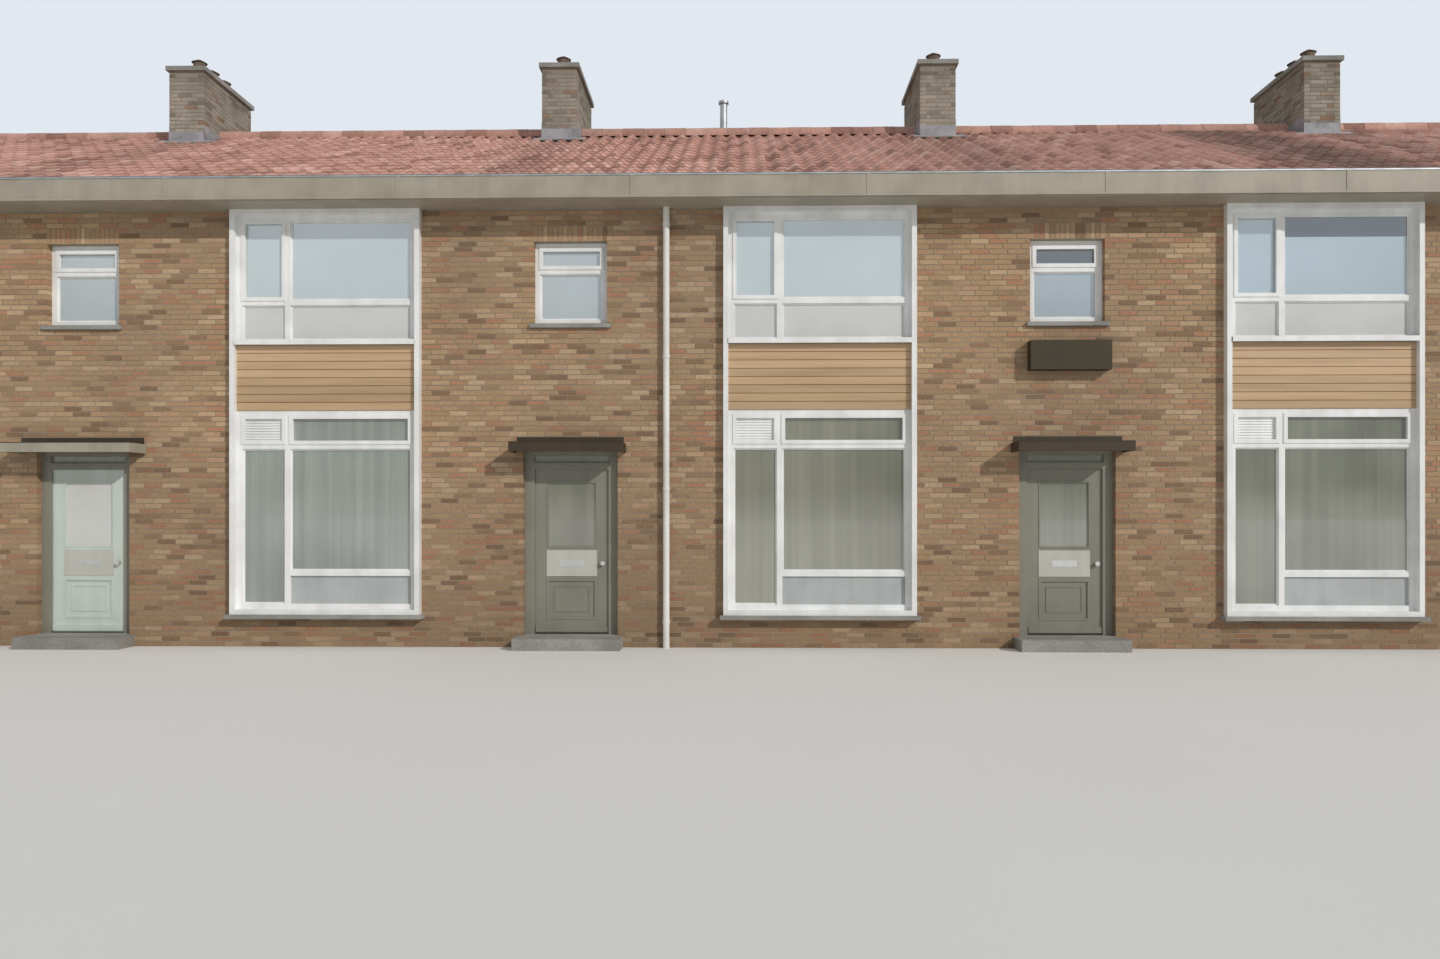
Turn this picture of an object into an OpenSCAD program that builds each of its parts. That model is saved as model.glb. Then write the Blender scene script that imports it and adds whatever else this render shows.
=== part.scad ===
// Row of terraced two-storey brick houses, built from ground level up.
// Millimetres, +Z up, +X along the row, the street front faces -Y.
// The origin lies at ground level under the middle of the row.

/* [Row] */
// Number of houses in the row
house_count = 5; // [1:1:6]
// Width of one house, from party line to party line
house_w = 6000; // [5600:50:6400]
// Depth of the houses over the outer faces of both walls
house_d = 9000; // [8000:50:10000]

/* [Walls and floors] */
// Thickness of the front and rear walls
wall_t = 270; // [240:10:330]
// Thickness of a party wall
party_t = 220; // [200:10:260]
// Thickness of an end gable wall
gable_t = 270; // [240:10:330]
// Top of the ground floor above the ground
floor_z = 150; // [120:10:200]
// Top of the first floor above the ground
first_floor_z = 2950; // [2900:10:3050]
// Thickness of the first floor
first_floor_t = 220; // [180:10:260]

/* [Roof] */
// Pitch of both roof slopes in degrees
roof_pitch = 25; // [20:0.5:30]
// Thickness of the roof, tiles included, square to the slope
roof_t = 160; // [120:10:200]
// Height of the tile edge over the gutter
eaves_z = 5650; // [5600:10:5800]
// Overhang of the tiles past the front and rear walls
eaves_over = 300; // [260:10:360]
// Overhang of the tiles past the end gables
verge_over = 60; // [40:5:120]
// Clearance under the roof slopes where walls and gutters carry them
seat_gap = 0.2; // [0.1:0.1:0.8]
// Radius of the half-round ridge tiles
ridge_r = 125; // [100:5:150]
// Thickness of a verge board
verge_t = 25; // [18:1:40]
// How far a verge board reaches below the roof
verge_cover = 40; // [20:5:60]

/* [Gutters and pipes] */
// Projection of the boxed gutter from the wall
gutter_out = 430; // [380:10:500]
// Underside of the boxed gutter above the ground
gutter_z = 5320; // [5280:10:5380]
// Height of the gutter's front board
gutter_h = 280; // [240:10:320]
// Thickness of the gutter's front board and end boards
gutter_board = 30; // [20:1:50]
// Depth of the channel
channel_h = 150; // [100:10:180]
// Lap of the tiles over the channel's edge
tile_lap = 10; // [5:5:40]
// Radius of a downpipe
pipe_r = 40; // [35:1:50]
// Space between a downpipe and the wall
pipe_gap = 20; // [10:1:40]
// Place of a downpipe, from the party line on the left of its house
pipe_x = 1990; // [1700:10:2300]
// Height of a downpipe's lowest clip
pipe_clip_z = 300; // [200:50:600]
// Distance from one clip to the next
pipe_clip_step = 1600; // [1200:50:2000]
// Houses from one downpipe to the next
pipe_step = 2; // [1:1:3]

/* [Chimneys] */
// Width of a chimney stack along the row
stack_w = 550; // [440:10:600]
// Front face of the stacks, in front of the ridge
stack_front = 600; // [150:10:700]
// Depth of a chimney stack
stack_d = 1600; // [1200:50:2200]
// Height of a stack's brickwork over the ridge
stack_rise = 840; // [700:10:1200]
// Thickness of a stack's cap slab
cap_t = 70; // [50:5:100]
// Overhang of the cap slab
cap_over = 45; // [30:5:70]
// Gap left in the roof round a stack
stack_gap = 5; // [2:1:10]
// Flue terminals on one stack
flue_count = 3; // [2:1:5]
// Radius of a flue terminal
flue_r = 95; // [80:5:110]
// Height of a flue terminal's tube
flue_h = 230; // [60:10:300]
// Overhang of a flue terminal's cowl
cowl_over = 25; // [15:5:40]
// Height of a flue terminal's cowl
cowl_h = 50; // [30:5:80]

/* [Vent pipe] */
// Place of the vent pipe, from the middle of the row
vent_x = -400; // [-2000:50:2000]
// Distance of the vent pipe behind the ridge
vent_y = 260; // [200:10:1000]
// Radius of the vent pipe
vent_r = 60; // [50:5:80]
// Height of the vent pipe's tube over the ridge
vent_rise = 580; // [400:10:700]
// Overhang of the vent pipe's collar
vent_collar = 25; // [10:5:40]

/* [Front door and canopy] */
// Left edge of the doorway, from the party line
door_x = 240; // [200:10:300]
// Width of the doorway in the wall
door_w = 1160; // [1100:10:1180]
// Top of the doorway above the ground
door_head = 2380; // [2360:10:2500]
// Width of a front door leaf
leaf_w = 920; // [900:5:930]
// Height of a front door leaf
leaf_h = 2015; // [1980:5:2040]
// Width of the stiles of a front door leaf
stile_w = 150; // [120:5:180]
// Height of the bottom rail of a front door leaf
bottom_rail_h = 170; // [140:10:220]
// Height of the sunk lower panel of a front door leaf
lower_panel_h = 500; // [440:10:540]
// Depth of the sunk panels
panel_sink = 12; // [8:1:16]
// Height of the middle rail, which carries the letter plate
middle_rail_h = 380; // [300:10:420]
// Height of the rail over the glass of a front door leaf
top_rail_h = 150; // [120:10:180]
// Thickness of a front door leaf
leaf_t = 54; // [50:1:58]
// Running gap round a leaf
leaf_gap = 8; // [6:1:10]
// Depth of a door or window frame
frame_d = 90; // [80:1:100]
// Set-back of a door or window frame behind the brick face
frame_set = 90; // [60:5:120]
// Width of a frame member
frame_m = 66; // [60:1:70]
// How far a door stop laps over the leaf
stop_lap = 14; // [10:1:18]
// Width of the canopy over a door
canopy_w = 1320; // [1200:10:1400]
// House with the wider canopy, counted from the left
wide_canopy_house = 2; // [1:1:6]
// Width of the wider canopy
wide_canopy_w = 1540; // [1420:10:1560]
// Projection of the canopy from the wall
canopy_out = 350; // [300:10:700]
// Thickness of the canopy at its front edge
canopy_t = 80; // [70:5:150]
// Fall of the canopy's top towards its front edge
canopy_fall = 20; // [10:5:50]
// Height of the outer doorstep
step_h = 140; // [100:5:145]
// Tread of the outer doorstep
step_d = 360; // [300:10:450]
// How far a doorstep runs past the doorway on each side
step_side = 60; // [30:5:100]

/* [Window strip] */
// Left edge of the two-storey window strip, from the party line
bay_x = 2680; // [2500:10:2800]
// Width of the window strip
bay_w = 2320; // [2200:10:2400]
// Bottom of the window strip above the ground
bay_sill = 400; // [380:10:500]
// Bottom of the coloured panel between the storeys
panel_z = 2880; // [2860:10:2920]
// Height of that panel
panel_h = 800; // [700:10:900]
// Projection of the strip's surround from the brick face
bay_out = 100; // [80:5:140]
// Thickness of the surround's boards
surround_t = 60; // [40:5:80]
// Centre of the mullion, from the strip's left edge
mullion_x = 680; // [600:10:760]
// Height of the lower window's opening lights
fanlight_h = 400; // [340:10:460]
// Height of the white panel under the wide lower light
kick_h = 340; // [300:10:440]
// Height of the upper window's bottom lights
low_light_h = 420; // [360:10:480]

/* [Small windows and sills] */
// Width of the window over a front door
landing_w = 900; // [820:10:960]
// Height of the window over a front door
landing_h = 1000; // [900:10:1050]
// Height of the lower light of the window over a front door, in its frame
landing_light_h = 560; // [480:10:620]
// Sill height of the window over a front door
landing_z = 3930; // [3850:10:4000]
// Thickness of a glass unit
glass_t = 20; // [14:1:28]
// Thickness of a window sill
sill_t = 50; // [40:5:70]
// Projection of a window sill from what is behind it
sill_out = 50; // [30:5:80]
// How far a sill runs past its window on each side
sill_over = 40; // [20:5:60]
// Projection of the sill over the coloured panel from the surround's edge
mid_sill_out = 10; // [5:1:30]

/* [Window box] */
// House that has the window box, counted from the left
box_house = 4; // [1:1:6]
// Length of the window box
box_l = 960; // [700:10:1000]
// Height of the window box
box_h = 350; // [200:10:400]
// Top of the window box above the ground
box_top = 3690; // [3400:10:3850]
// Projection of the window box from the wall
box_out = 160; // [120:5:250]
// Thickness of the window box's boards
box_wall = 18; // [12:1:25]

/* [Rear wall] */
// Left edge of the rear door column, from the party line
rear_door_x = 620; // [560:10:700]
// Left edge of the rear window column, from the party line
rear_win_x = 2650; // [2550:10:2750]
// Width of the rear windows
rear_win_w = 2400; // [2200:10:2500]
// Sill height of the rear ground-floor window
rear_low_z = 900; // [800:10:1000]
// Head height of the rear ground-floor window
rear_low_head = 2420; // [2400:10:2500]
// Sill height of the rear upper windows
rear_up_z = 3800; // [3750:10:3900]
// Head height of the rear upper windows
rear_up_head = 5100; // [5000:10:5150]

/* [Hidden] */
$fn = 32;
DOORS = [for (i = [1:house_count]) str("front_door_", i)];

front_y = -house_d/2;
front_in = front_y + wall_t;
row_x0 = line_x(0) - gable_t + party_t/2;
row_x1 = line_x(house_count) + gable_t - party_t/2;
edge_y = house_d/2 + eaves_over;
ridge_z = eaves_z + edge_y*tan(roof_pitch);
roof_drop = roof_t/cos(roof_pitch);
stack_top = ridge_z + stack_rise;
vent_top = ridge_z + vent_rise;
bay_top = gutter_z;
panel_top = panel_z + panel_h;
frame_y = front_y + frame_set;
frame_in = frame_y + frame_d;
leaf_set = 6;
leaf_z = floor_z + leaf_gap;
leaf_top = leaf_z + leaf_h;
hinge_gap = 6;
jamb = (door_w - leaf_w - leaf_gap - hinge_gap)/2;
leaf_y1 = frame_in - leaf_set;
leaf_y0 = leaf_y1 - leaf_t;
pin_dx = 3;
pin_dy = 9;
knuckle_r = 8;
pin_r = 4;
pin_play = 0.1;
knuckle_h = 45;
knuckle_gap = 0.3;
stop_gap = 5;
hinge_end = 200;
hinge_zs = [leaf_z + hinge_end, leaf_z + leaf_h/2, leaf_z + leaf_h - hinge_end - 2*knuckle_h];
plate_w = 30;
plate_t = 3;
rose_r = 22;
rose_t = 8;
spindle_r = 9;
knob_r = 28;
knob_t = 22;
knob_out = 58;
lever_l = 115;
lever_t = 14;
lever_out = 50;
letter_w = 300;
letter_h = 75;
leaf_panel_w = leaf_w - 2*stile_w;
light_z = bottom_rail_h + lower_panel_h + middle_rail_h;
light_h = leaf_h - top_rail_h - light_z;
landing_x = door_x + (door_w - landing_w)/2;
bay_set = 20;
strip_in_w = bay_w - 2*surround_t;
low_h = panel_z - bay_sill - surround_t;
up_h = bay_top - surround_t - panel_top;
mull = mullion_x - surround_t;
strip_back = front_y - bay_set + frame_d;
clip_t = 6;
clip_h = 40;

function line_x(i) = (i - house_count/2)*house_w;
function roof_top(y) = ridge_z - abs(y)*tan(roof_pitch);
function roof_under(y) = roof_top(y) - roof_drop;
function roof_seat(y) = roof_under(y) - seat_gap;
function stack_x(i) = i == 0 ? row_x0 + stack_w/2
    : i == house_count ? row_x1 - stack_w/2 : line_x(i);

// A box between two corners
module block(a, b) {
    translate(a) cube(b - a);
}

// Runs a profile drawn in Y and Z along X
module along_x(x0, x1) {
    translate([x0, 0, 0]) rotate([90, 0, 90]) linear_extrude(x1 - x0) children();
}

// Turns a front piece round to the rear of the same house
module to_rear() {
    mirror([0, 1, 0]) children();
}

// A stretch of front wall from a height up to the roof's underside
module wall_to_roof(x0, x1, z0) {
    along_x(x0, x1) polygon([
        [front_y, z0], [front_in, z0],
        [front_in, roof_seat(front_in)], [front_y, roof_seat(front_y)]]);
}

// A cross wall from the ground to the roof's underside
module cross_wall(x0, x1) {
    along_x(x0, x1) polygon([
        [front_in, 0], [-front_in, 0], [-front_in, roof_seat(front_in)],
        [0, roof_seat(0)], [front_in, roof_seat(front_in)]]);
}

// A frame with a hole for each cell, given as [x0, z0, x1, z1] inside the frame
module frame_with_cells(w, h, d, cells) {
    difference() {
        cube([w, d, h]);
        for (c = cells) translate([c[0], -1, c[1]]) cube([c[2] - c[0], d + 2, c[3] - c[1]]);
    }
}

// The glass units that fill the cells of a frame
module panes(d, cells) {
    for (c = cells) translate([c[0], (d - glass_t)/2, c[1]])
        cube([c[2] - c[0], glass_t, c[3] - c[1]]);
}

// Walls

module front_piers() {
    color("peru") {
        for (i = [0:house_count]) wall_to_roof(
            i == 0 ? row_x0 : line_x(i - 1) + bay_x + bay_w,
            i == house_count ? row_x1 : line_x(i) + door_x, 0);
        for (i = [0:house_count - 1]) wall_to_roof(
            line_x(i) + door_x + door_w, line_x(i) + bay_x, 0);
    }
}

module over_door_walls() {
    color("peru") for (i = [0:house_count - 1]) {
        x0 = line_x(i) + door_x;
        block([x0, front_y, door_head], [x0 + door_w, front_in, landing_z]);
        wall_to_roof(x0, x0 + door_w, landing_z + landing_h);
    }
}

// The brick beside the window over a front door
module landing_jamb_walls() {
    jamb_w = (door_w - landing_w)/2;
    color("peru") for (i = [0:house_count - 1]) for (x = [door_x, landing_x + landing_w])
        block([line_x(i) + x, front_y, landing_z],
            [line_x(i) + x + jamb_w, front_in, landing_z + landing_h]);
}

module strip_walls() {
    color("peru") for (i = [0:house_count - 1]) {
        x0 = line_x(i) + bay_x;
        x1 = x0 + bay_w;
        block([x0, front_y, 0], [x1, front_in, bay_sill]);
        block([x0, strip_back, panel_z], [x1, front_in, panel_top]);
        wall_to_roof(x0, x1, bay_top);
    }
}

module rear_piers() {
    color("peru") to_rear() for (i = [0:house_count]) {
        wall_to_roof(i == 0 ? row_x0 : line_x(i - 1) + rear_win_x + rear_win_w,
            i == house_count ? row_x1 : line_x(i) + rear_door_x, 0);
        if (i < house_count) wall_to_roof(
            line_x(i) + rear_door_x + door_w, line_x(i) + rear_win_x, 0);
    }
}

module rear_infill_walls() {
    color("peru") to_rear() for (i = [0:house_count - 1]) {
        d0 = line_x(i) + rear_door_x;
        w0 = line_x(i) + rear_win_x;
        block([d0, front_y, door_head], [d0 + door_w, front_in, rear_up_z]);
        wall_to_roof(d0, d0 + door_w, rear_up_head);
        block([w0, front_y, 0], [w0 + rear_win_w, front_in, rear_low_z]);
        block([w0, front_y, rear_low_head], [w0 + rear_win_w, front_in, rear_up_z]);
        wall_to_roof(w0, w0 + rear_win_w, rear_up_head);
    }
}

module party_walls() {
    color("lightgray") for (i = [1:1:house_count - 1])
        cross_wall(line_x(i) - party_t/2, line_x(i) + party_t/2);
}

module gable_walls() {
    color("peru") {
        cross_wall(row_x0, row_x0 + gable_t);
        cross_wall(row_x1 - gable_t, row_x1);
    }
}

// Floors

module floors(z0, z1) {
    color("lightgray") for (i = [0:house_count - 1]) block(
        [line_x(i) + party_t/2, front_in, z0], [line_x(i + 1) - party_t/2, -front_in, z1]);
}

module ground_floors() {
    floors(0, floor_z);
}

module first_floors() {
    floors(first_floor_z - first_floor_t, first_floor_z);
}

// Roof

module stack_hole(i) {
    translate([stack_x(i) - stack_w/2 - stack_gap, -stack_front - stack_gap, roof_under(edge_y)])
        cube([stack_w + 2*stack_gap, stack_d + 2*stack_gap, stack_top - roof_under(edge_y)]);
}

// A slope from the ridge to its lower edge at y
module slope(y) {
    color("indianred") difference() {
        along_x(row_x0 - verge_over, row_x1 + verge_over) polygon([
            [y, roof_top(y)], [y, roof_under(y)], [0, roof_under(0)], [0, roof_top(0)]]);
        for (i = [0:house_count]) stack_hole(i);
    }
}

module roof_front() {
    slope(-edge_y);
}

module roof_rear() {
    slope(edge_y);
}

// The ridge runs between the stacks and sits on both slopes
module ridge_tiles() {
    color("indianred") for (i = [0:house_count - 1])
        along_x(stack_x(i) + stack_w/2, stack_x(i + 1) - stack_w/2) difference() {
            translate([0, ridge_z - ridge_r/3]) circle(r = ridge_r);
            polygon([[-edge_y, roof_top(edge_y)], [0, ridge_z], [edge_y, roof_top(edge_y)],
                [edge_y, 0], [-edge_y, 0]]);
        }
}

// Boxed gutter: a box under the tiles with an open channel at its outer side, shut at both ends
module gutter() {
    outer = front_y - gutter_out;
    channel_in = -edge_y + tile_lap;
    channel_floor = gutter_z + gutter_h - channel_h;
    x0 = row_x0 - verge_over;
    x1 = row_x1 + verge_over;
    color("antiquewhite") {
        along_x(x0, x1) polygon([
            [outer, gutter_z], [front_y, gutter_z], [front_y, roof_seat(front_y)],
            [channel_in, roof_seat(channel_in)], [channel_in, channel_floor],
            [outer + gutter_board, channel_floor], [outer + gutter_board, gutter_z + gutter_h],
            [outer, gutter_z + gutter_h]]);
        for (x = [x0, x1 - gutter_board])
            block([x, outer, gutter_z], [x + gutter_board, -edge_y, gutter_z + gutter_h]);
    }
}

module front_gutter() {
    gutter();
}

module rear_gutter() {
    to_rear() gutter();
}

module verge_boards() {
    drop = roof_drop + verge_cover;
    color("antiquewhite") for (x = [row_x0 - verge_over - verge_t, row_x1 + verge_over])
        along_x(x, x + verge_t) polygon([
            [-edge_y, roof_top(edge_y)], [0, ridge_z], [edge_y, roof_top(edge_y)],
            [edge_y, roof_top(edge_y) - drop], [0, ridge_z - drop],
            [-edge_y, roof_top(edge_y) - drop]]);
}

module downpipe(i) {
    translate([line_x(i) + pipe_x, front_y - pipe_r - pipe_gap, 0]) {
        cylinder(r = pipe_r, h = gutter_z);
        for (z = [pipe_clip_z:pipe_clip_step:gutter_z - clip_h]) translate([0, 0, z]) {
            cylinder(r = pipe_r + clip_t, h = clip_h);
            translate([-clip_h/4, 0, 0]) cube([clip_h/2, pipe_r + pipe_gap, clip_h]);
        }
    }
}

module downpipes() {
    color("whitesmoke") for (i = [0:pipe_step:house_count - 1]) {
        downpipe(i);
        to_rear() downpipe(i);
    }
}

module vent_pipe() {
    foot_z = roof_under(vent_y);
    color("gray") difference() {
        translate([vent_x, vent_y, foot_z]) {
            cylinder(r = vent_r, h = vent_top - foot_z);
            translate([0, 0, vent_top - foot_z]) cylinder(r = vent_r + vent_collar, h = clip_h);
        }
        along_x(vent_x - 2*vent_r, vent_x + 2*vent_r) polygon([
            [0, 0], [edge_y, 0], [edge_y, roof_top(edge_y)], [0, ridge_z]]);
    }
}

// Chimneys

module chimney_stacks() {
    color("sienna") for (i = [0:house_count])
        along_x(stack_x(i) - stack_w/2, stack_x(i) + stack_w/2) polygon([
            [-stack_front, roof_under(stack_front)], [0, roof_under(0)],
            [stack_d - stack_front, roof_under(stack_d - stack_front)],
            [stack_d - stack_front, stack_top], [-stack_front, stack_top]]);
}

module chimney_caps() {
    color("darkgray") for (i = [0:house_count]) block(
        [stack_x(i) - stack_w/2 - cap_over, -stack_front - cap_over, stack_top],
        [stack_x(i) + stack_w/2 + cap_over, stack_d - stack_front + cap_over, stack_top + cap_t]);
}

module flue_terminals() {
    color("dimgray") for (i = [0:house_count]) for (k = [1:flue_count])
        translate([stack_x(i), -stack_front + k*stack_d/(flue_count + 1), stack_top + cap_t]) {
            cylinder(r = flue_r, h = flue_h);
            translate([0, 0, flue_h]) cylinder(r1 = flue_r + cowl_over, r2 = flue_r/3, h = cowl_h);
        }
}

// Window strip

function strip_columns() = [[frame_m, mull - frame_m/2], [mull + frame_m/2, strip_in_w - frame_m]];
function lower_glass_cells() = let (c = strip_columns(), split = low_h - frame_m - fanlight_h) [
    [c[0][0], frame_m, c[0][1], split],
    [c[0][0], split + frame_m, c[0][1], low_h - frame_m],
    [c[1][0], frame_m + kick_h + frame_m, c[1][1], split],
    [c[1][0], split + frame_m, c[1][1], low_h - frame_m]];
function kick_cell() = let (c = strip_columns()) [c[1][0], frame_m, c[1][1], frame_m + kick_h];
function upper_glass_cells() = let (c = strip_columns()) [for (k = [0:1]) each [
    [c[k][0], frame_m, c[k][1], frame_m + low_light_h],
    [c[k][0], 2*frame_m + low_light_h, c[k][1], up_h - frame_m]]];

module at_strip(i, z) {
    translate([line_x(i) + bay_x + surround_t, front_y - bay_set, z]) children();
}

// The surround's upright boards, from the sill to the gutter
module strip_side_boards() {
    color("ivory") for (i = [0:house_count - 1]) for (x = [bay_x, bay_x + bay_w - surround_t])
        block([line_x(i) + x, front_y - bay_out, bay_sill],
            [line_x(i) + x + surround_t, strip_back, bay_top]);
}

// The surround's bottom and top boards, between the uprights
module strip_end_boards() {
    color("ivory") for (i = [0:house_count - 1]) for (z = [bay_sill, bay_top - surround_t])
        block([line_x(i) + bay_x + surround_t, front_y - bay_out, z],
            [line_x(i) + bay_x + bay_w - surround_t, strip_back, z + surround_t]);
}

module lower_strip_frames() {
    color("white") for (i = [0:house_count - 1]) at_strip(i, bay_sill + surround_t)
        frame_with_cells(strip_in_w, low_h, frame_d, concat(lower_glass_cells(), [kick_cell()]));
}

module upper_strip_frames() {
    color("white") for (i = [0:house_count - 1]) at_strip(i, panel_top)
        frame_with_cells(strip_in_w, up_h, frame_d, upper_glass_cells());
}

module strip_glass() {
    color("lightblue") for (i = [0:house_count - 1]) {
        at_strip(i, bay_sill + surround_t) panes(frame_d, lower_glass_cells());
        at_strip(i, panel_top) panes(frame_d, upper_glass_cells());
    }
}

module strip_panels() {
    color("burlywood") for (i = [0:house_count - 1]) block(
        [line_x(i) + bay_x + surround_t, front_y - bay_set, panel_z],
        [line_x(i) + bay_x + bay_w - surround_t, strip_back, panel_top]);
}

module kick_panels() {
    c = kick_cell();
    color("white") for (i = [0:house_count - 1]) at_strip(i, bay_sill + surround_t)
        translate([c[0], frame_d/3, c[1]]) cube([c[2] - c[0], frame_d/3, c[3] - c[1]]);
}

// Small windows, sills and the window box

function landing_cells() = [
    [frame_m, frame_m, landing_w - frame_m, frame_m + landing_light_h],
    [frame_m, 2*frame_m + landing_light_h, landing_w - frame_m, landing_h - frame_m]];
function fanlight_cells() = [[
    jamb, leaf_top - floor_z + leaf_gap + frame_m, door_w - jamb, door_head - floor_z - frame_m/2]];

module landing_frames() {
    color("white") for (i = [0:house_count - 1]) translate([line_x(i) + landing_x, frame_y, landing_z])
        frame_with_cells(landing_w, landing_h, frame_d, landing_cells());
}

module small_glass() {
    color("lightblue") for (i = [0:house_count - 1]) {
        translate([line_x(i) + landing_x, frame_y, landing_z]) panes(frame_d, landing_cells());
        translate([line_x(i) + door_x, frame_y, floor_z]) panes(frame_d, fanlight_cells());
    }
}

// A sill under an opening of width w, its back against the wall, its top at z
module sill(x, w, z, out) {
    block([x - sill_over, front_y - out, z - sill_t], [x + w + sill_over, front_y, z]);
}

module window_sills() {
    color("gainsboro") for (i = [0:house_count - 1]) {
        x = line_x(i);
        sill(x + bay_x, bay_w, bay_sill, bay_out + sill_out);
        block([x + bay_x + surround_t, front_y - bay_out - mid_sill_out, panel_top],
            [x + bay_x + bay_w - surround_t, front_y - bay_set, panel_top + sill_t]);
        sill(x + landing_x, landing_w, landing_z, sill_out);
        to_rear() {
            sill(x + rear_door_x, door_w, rear_up_z, sill_out);
            sill(x + rear_win_x, rear_win_w, rear_up_z, sill_out);
            sill(x + rear_win_x, rear_win_w, rear_low_z, sill_out);
        }
    }
}

// An empty planting trough hung on the wall of one house
module window_box() {
    x = line_x(min(box_house, house_count) - 1) + landing_x + (landing_w - box_l)/2;
    color("darkslategray") translate([x, front_y - box_out, box_top - box_h]) difference() {
        cube([box_l, box_out, box_h]);
        translate([box_wall, box_wall, box_wall])
            cube([box_l - 2*box_wall, box_out - 2*box_wall, box_h]);
    }
}

// Entrances

module canopies() {
    color("dimgray") for (i = [0:house_count - 1]) {
        w = i + 1 == wide_canopy_house ? wide_canopy_w : canopy_w;
        x = line_x(i) + door_x + (door_w - w)/2;
        along_x(x, x + w) polygon([
            [front_y, door_head], [front_y, door_head + canopy_t + canopy_fall],
            [front_y - canopy_out, door_head + canopy_t], [front_y - canopy_out, door_head]]);
    }
}

module doorsteps() {
    color("darkgray") for (i = [0:house_count - 1]) {
        x = line_x(i) + door_x - step_side;
        r = line_x(i) + rear_door_x - step_side;
        w = door_w + 2*step_side;
        block([x, front_y - step_d, 0], [x + w, front_y, step_h]);
        to_rear() block([r, front_y - step_d, 0], [r + w, front_y, step_h]);
    }
}

module thresholds() {
    color("slategray") for (i = [0:house_count - 1]) {
        x = line_x(i) + door_x;
        r = line_x(i) + rear_door_x;
        block([x, front_y, 0], [x + door_w, front_in, floor_z]);
        to_rear() block([r, front_y, 0], [r + door_w, front_in, floor_z]);
    }
}

// Frame of a front door, with a rebate for the leaf and a fanlight over it
module door_frame() {
    h = door_head - floor_z;
    open_h = leaf_top - floor_z + leaf_gap;
    difference() {
        cube([door_w, frame_d, h]);
        translate([jamb + stop_lap, -1, -1])
            cube([door_w - 2*jamb - 2*stop_lap, frame_d + 2, open_h + 1 - stop_lap]);
        translate([jamb, leaf_y0 - frame_y - stop_gap, -1])
            cube([door_w - 2*jamb, frame_d, open_h + 1]);
        for (c = fanlight_cells()) translate([c[0], -1, c[1]])
            cube([c[2] - c[0], frame_d + 2, c[3] - c[1]]);
    }
}

module door_frames() {
    color("white") for (i = [0:house_count - 1])
        translate([line_x(i) + door_x, frame_y, floor_z]) door_frame();
}

// Fixed half of each hinge: a plate on the frame, a knuckle and its pin
module door_hinges() {
    color("silver") for (i = [0:house_count - 1]) for (z = hinge_zs)
        translate([line_x(i) + door_x + jamb + pin_dx, frame_in + pin_dy, z]) {
            cylinder(r = knuckle_r, h = knuckle_h);
            cylinder(r = pin_r, h = 2*knuckle_h);
            translate([-plate_w - pin_dx, -pin_dy, 0]) cube([plate_w + pin_dx, plate_t, knuckle_h]);
        }
}

function leaf_x(i) = line_x(i) + door_x + jamb + hinge_gap;

module door_leaf(i) {
    color("darkseagreen") translate([leaf_x(i), leaf_y0, leaf_z]) difference() {
        cube([leaf_w, leaf_t, leaf_h]);
        translate([stile_w, -1, light_z]) cube([leaf_panel_w, leaf_t + 2, light_h]);
        for (y = [-1, leaf_t - panel_sink]) translate([stile_w, y, bottom_rail_h])
            cube([leaf_panel_w, panel_sink + 1, lower_panel_h]);
    }
}

module door_pane(i) {
    color("lightblue") translate([leaf_x(i) + stile_w, leaf_y0 + (leaf_t - glass_t)/2, leaf_z + light_z])
        cube([leaf_panel_w, glass_t, light_h]);
}

// Letter plate, knob and lever, and the moving half of each hinge
module door_metalwork(i) {
    rail_z = leaf_z + light_z - middle_rail_h/2;
    knob_x = leaf_x(i) + leaf_w - stile_w/2;
    color("silver") {
        translate([leaf_x(i) + (leaf_w - letter_w)/2, leaf_y0 - rose_t, rail_z - letter_h/2])
            cube([letter_w, rose_t, letter_h]);
        translate([knob_x, leaf_y0, rail_z]) rotate([90, 0, 0]) {
            cylinder(r = rose_r, h = rose_t);
            cylinder(r = spindle_r, h = knob_out);
            translate([0, 0, knob_out - knob_t]) cylinder(r = knob_r, h = knob_t);
        }
        translate([knob_x, leaf_y1, rail_z]) rotate([-90, 0, 0]) {
            cylinder(r = rose_r, h = rose_t);
            cylinder(r = spindle_r, h = lever_out);
            translate([-lever_l, -spindle_r, lever_out - lever_t]) cube([lever_l, 2*spindle_r, lever_t]);
        }
        for (z = hinge_zs) translate([leaf_x(i) - hinge_gap + pin_dx, frame_in + pin_dy,
            z + knuckle_h + knuckle_gap]) difference() {
            union() {
                cylinder(r = knuckle_r, h = knuckle_h);
                translate([hinge_gap - pin_dx, -pin_dy - leaf_set, 0])
                    cube([plate_w, leaf_set + plate_t, knuckle_h]);
            }
            translate([0, 0, -1]) cylinder(r = pin_r + pin_play, h = knuckle_h + 2);
        }
    }
}

// Rear windows and doors

function light_cells(w, h, n) = let (pitch = (w - frame_m)/n) [for (k = [0:n - 1])
    [frame_m + k*pitch, frame_m, (k + 1)*pitch, h - frame_m]];

// Places a rear frame with its left edge and sill
module at_rear(i, x, z) {
    to_rear() translate([line_x(i) + x, frame_y, z]) children();
}

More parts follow.
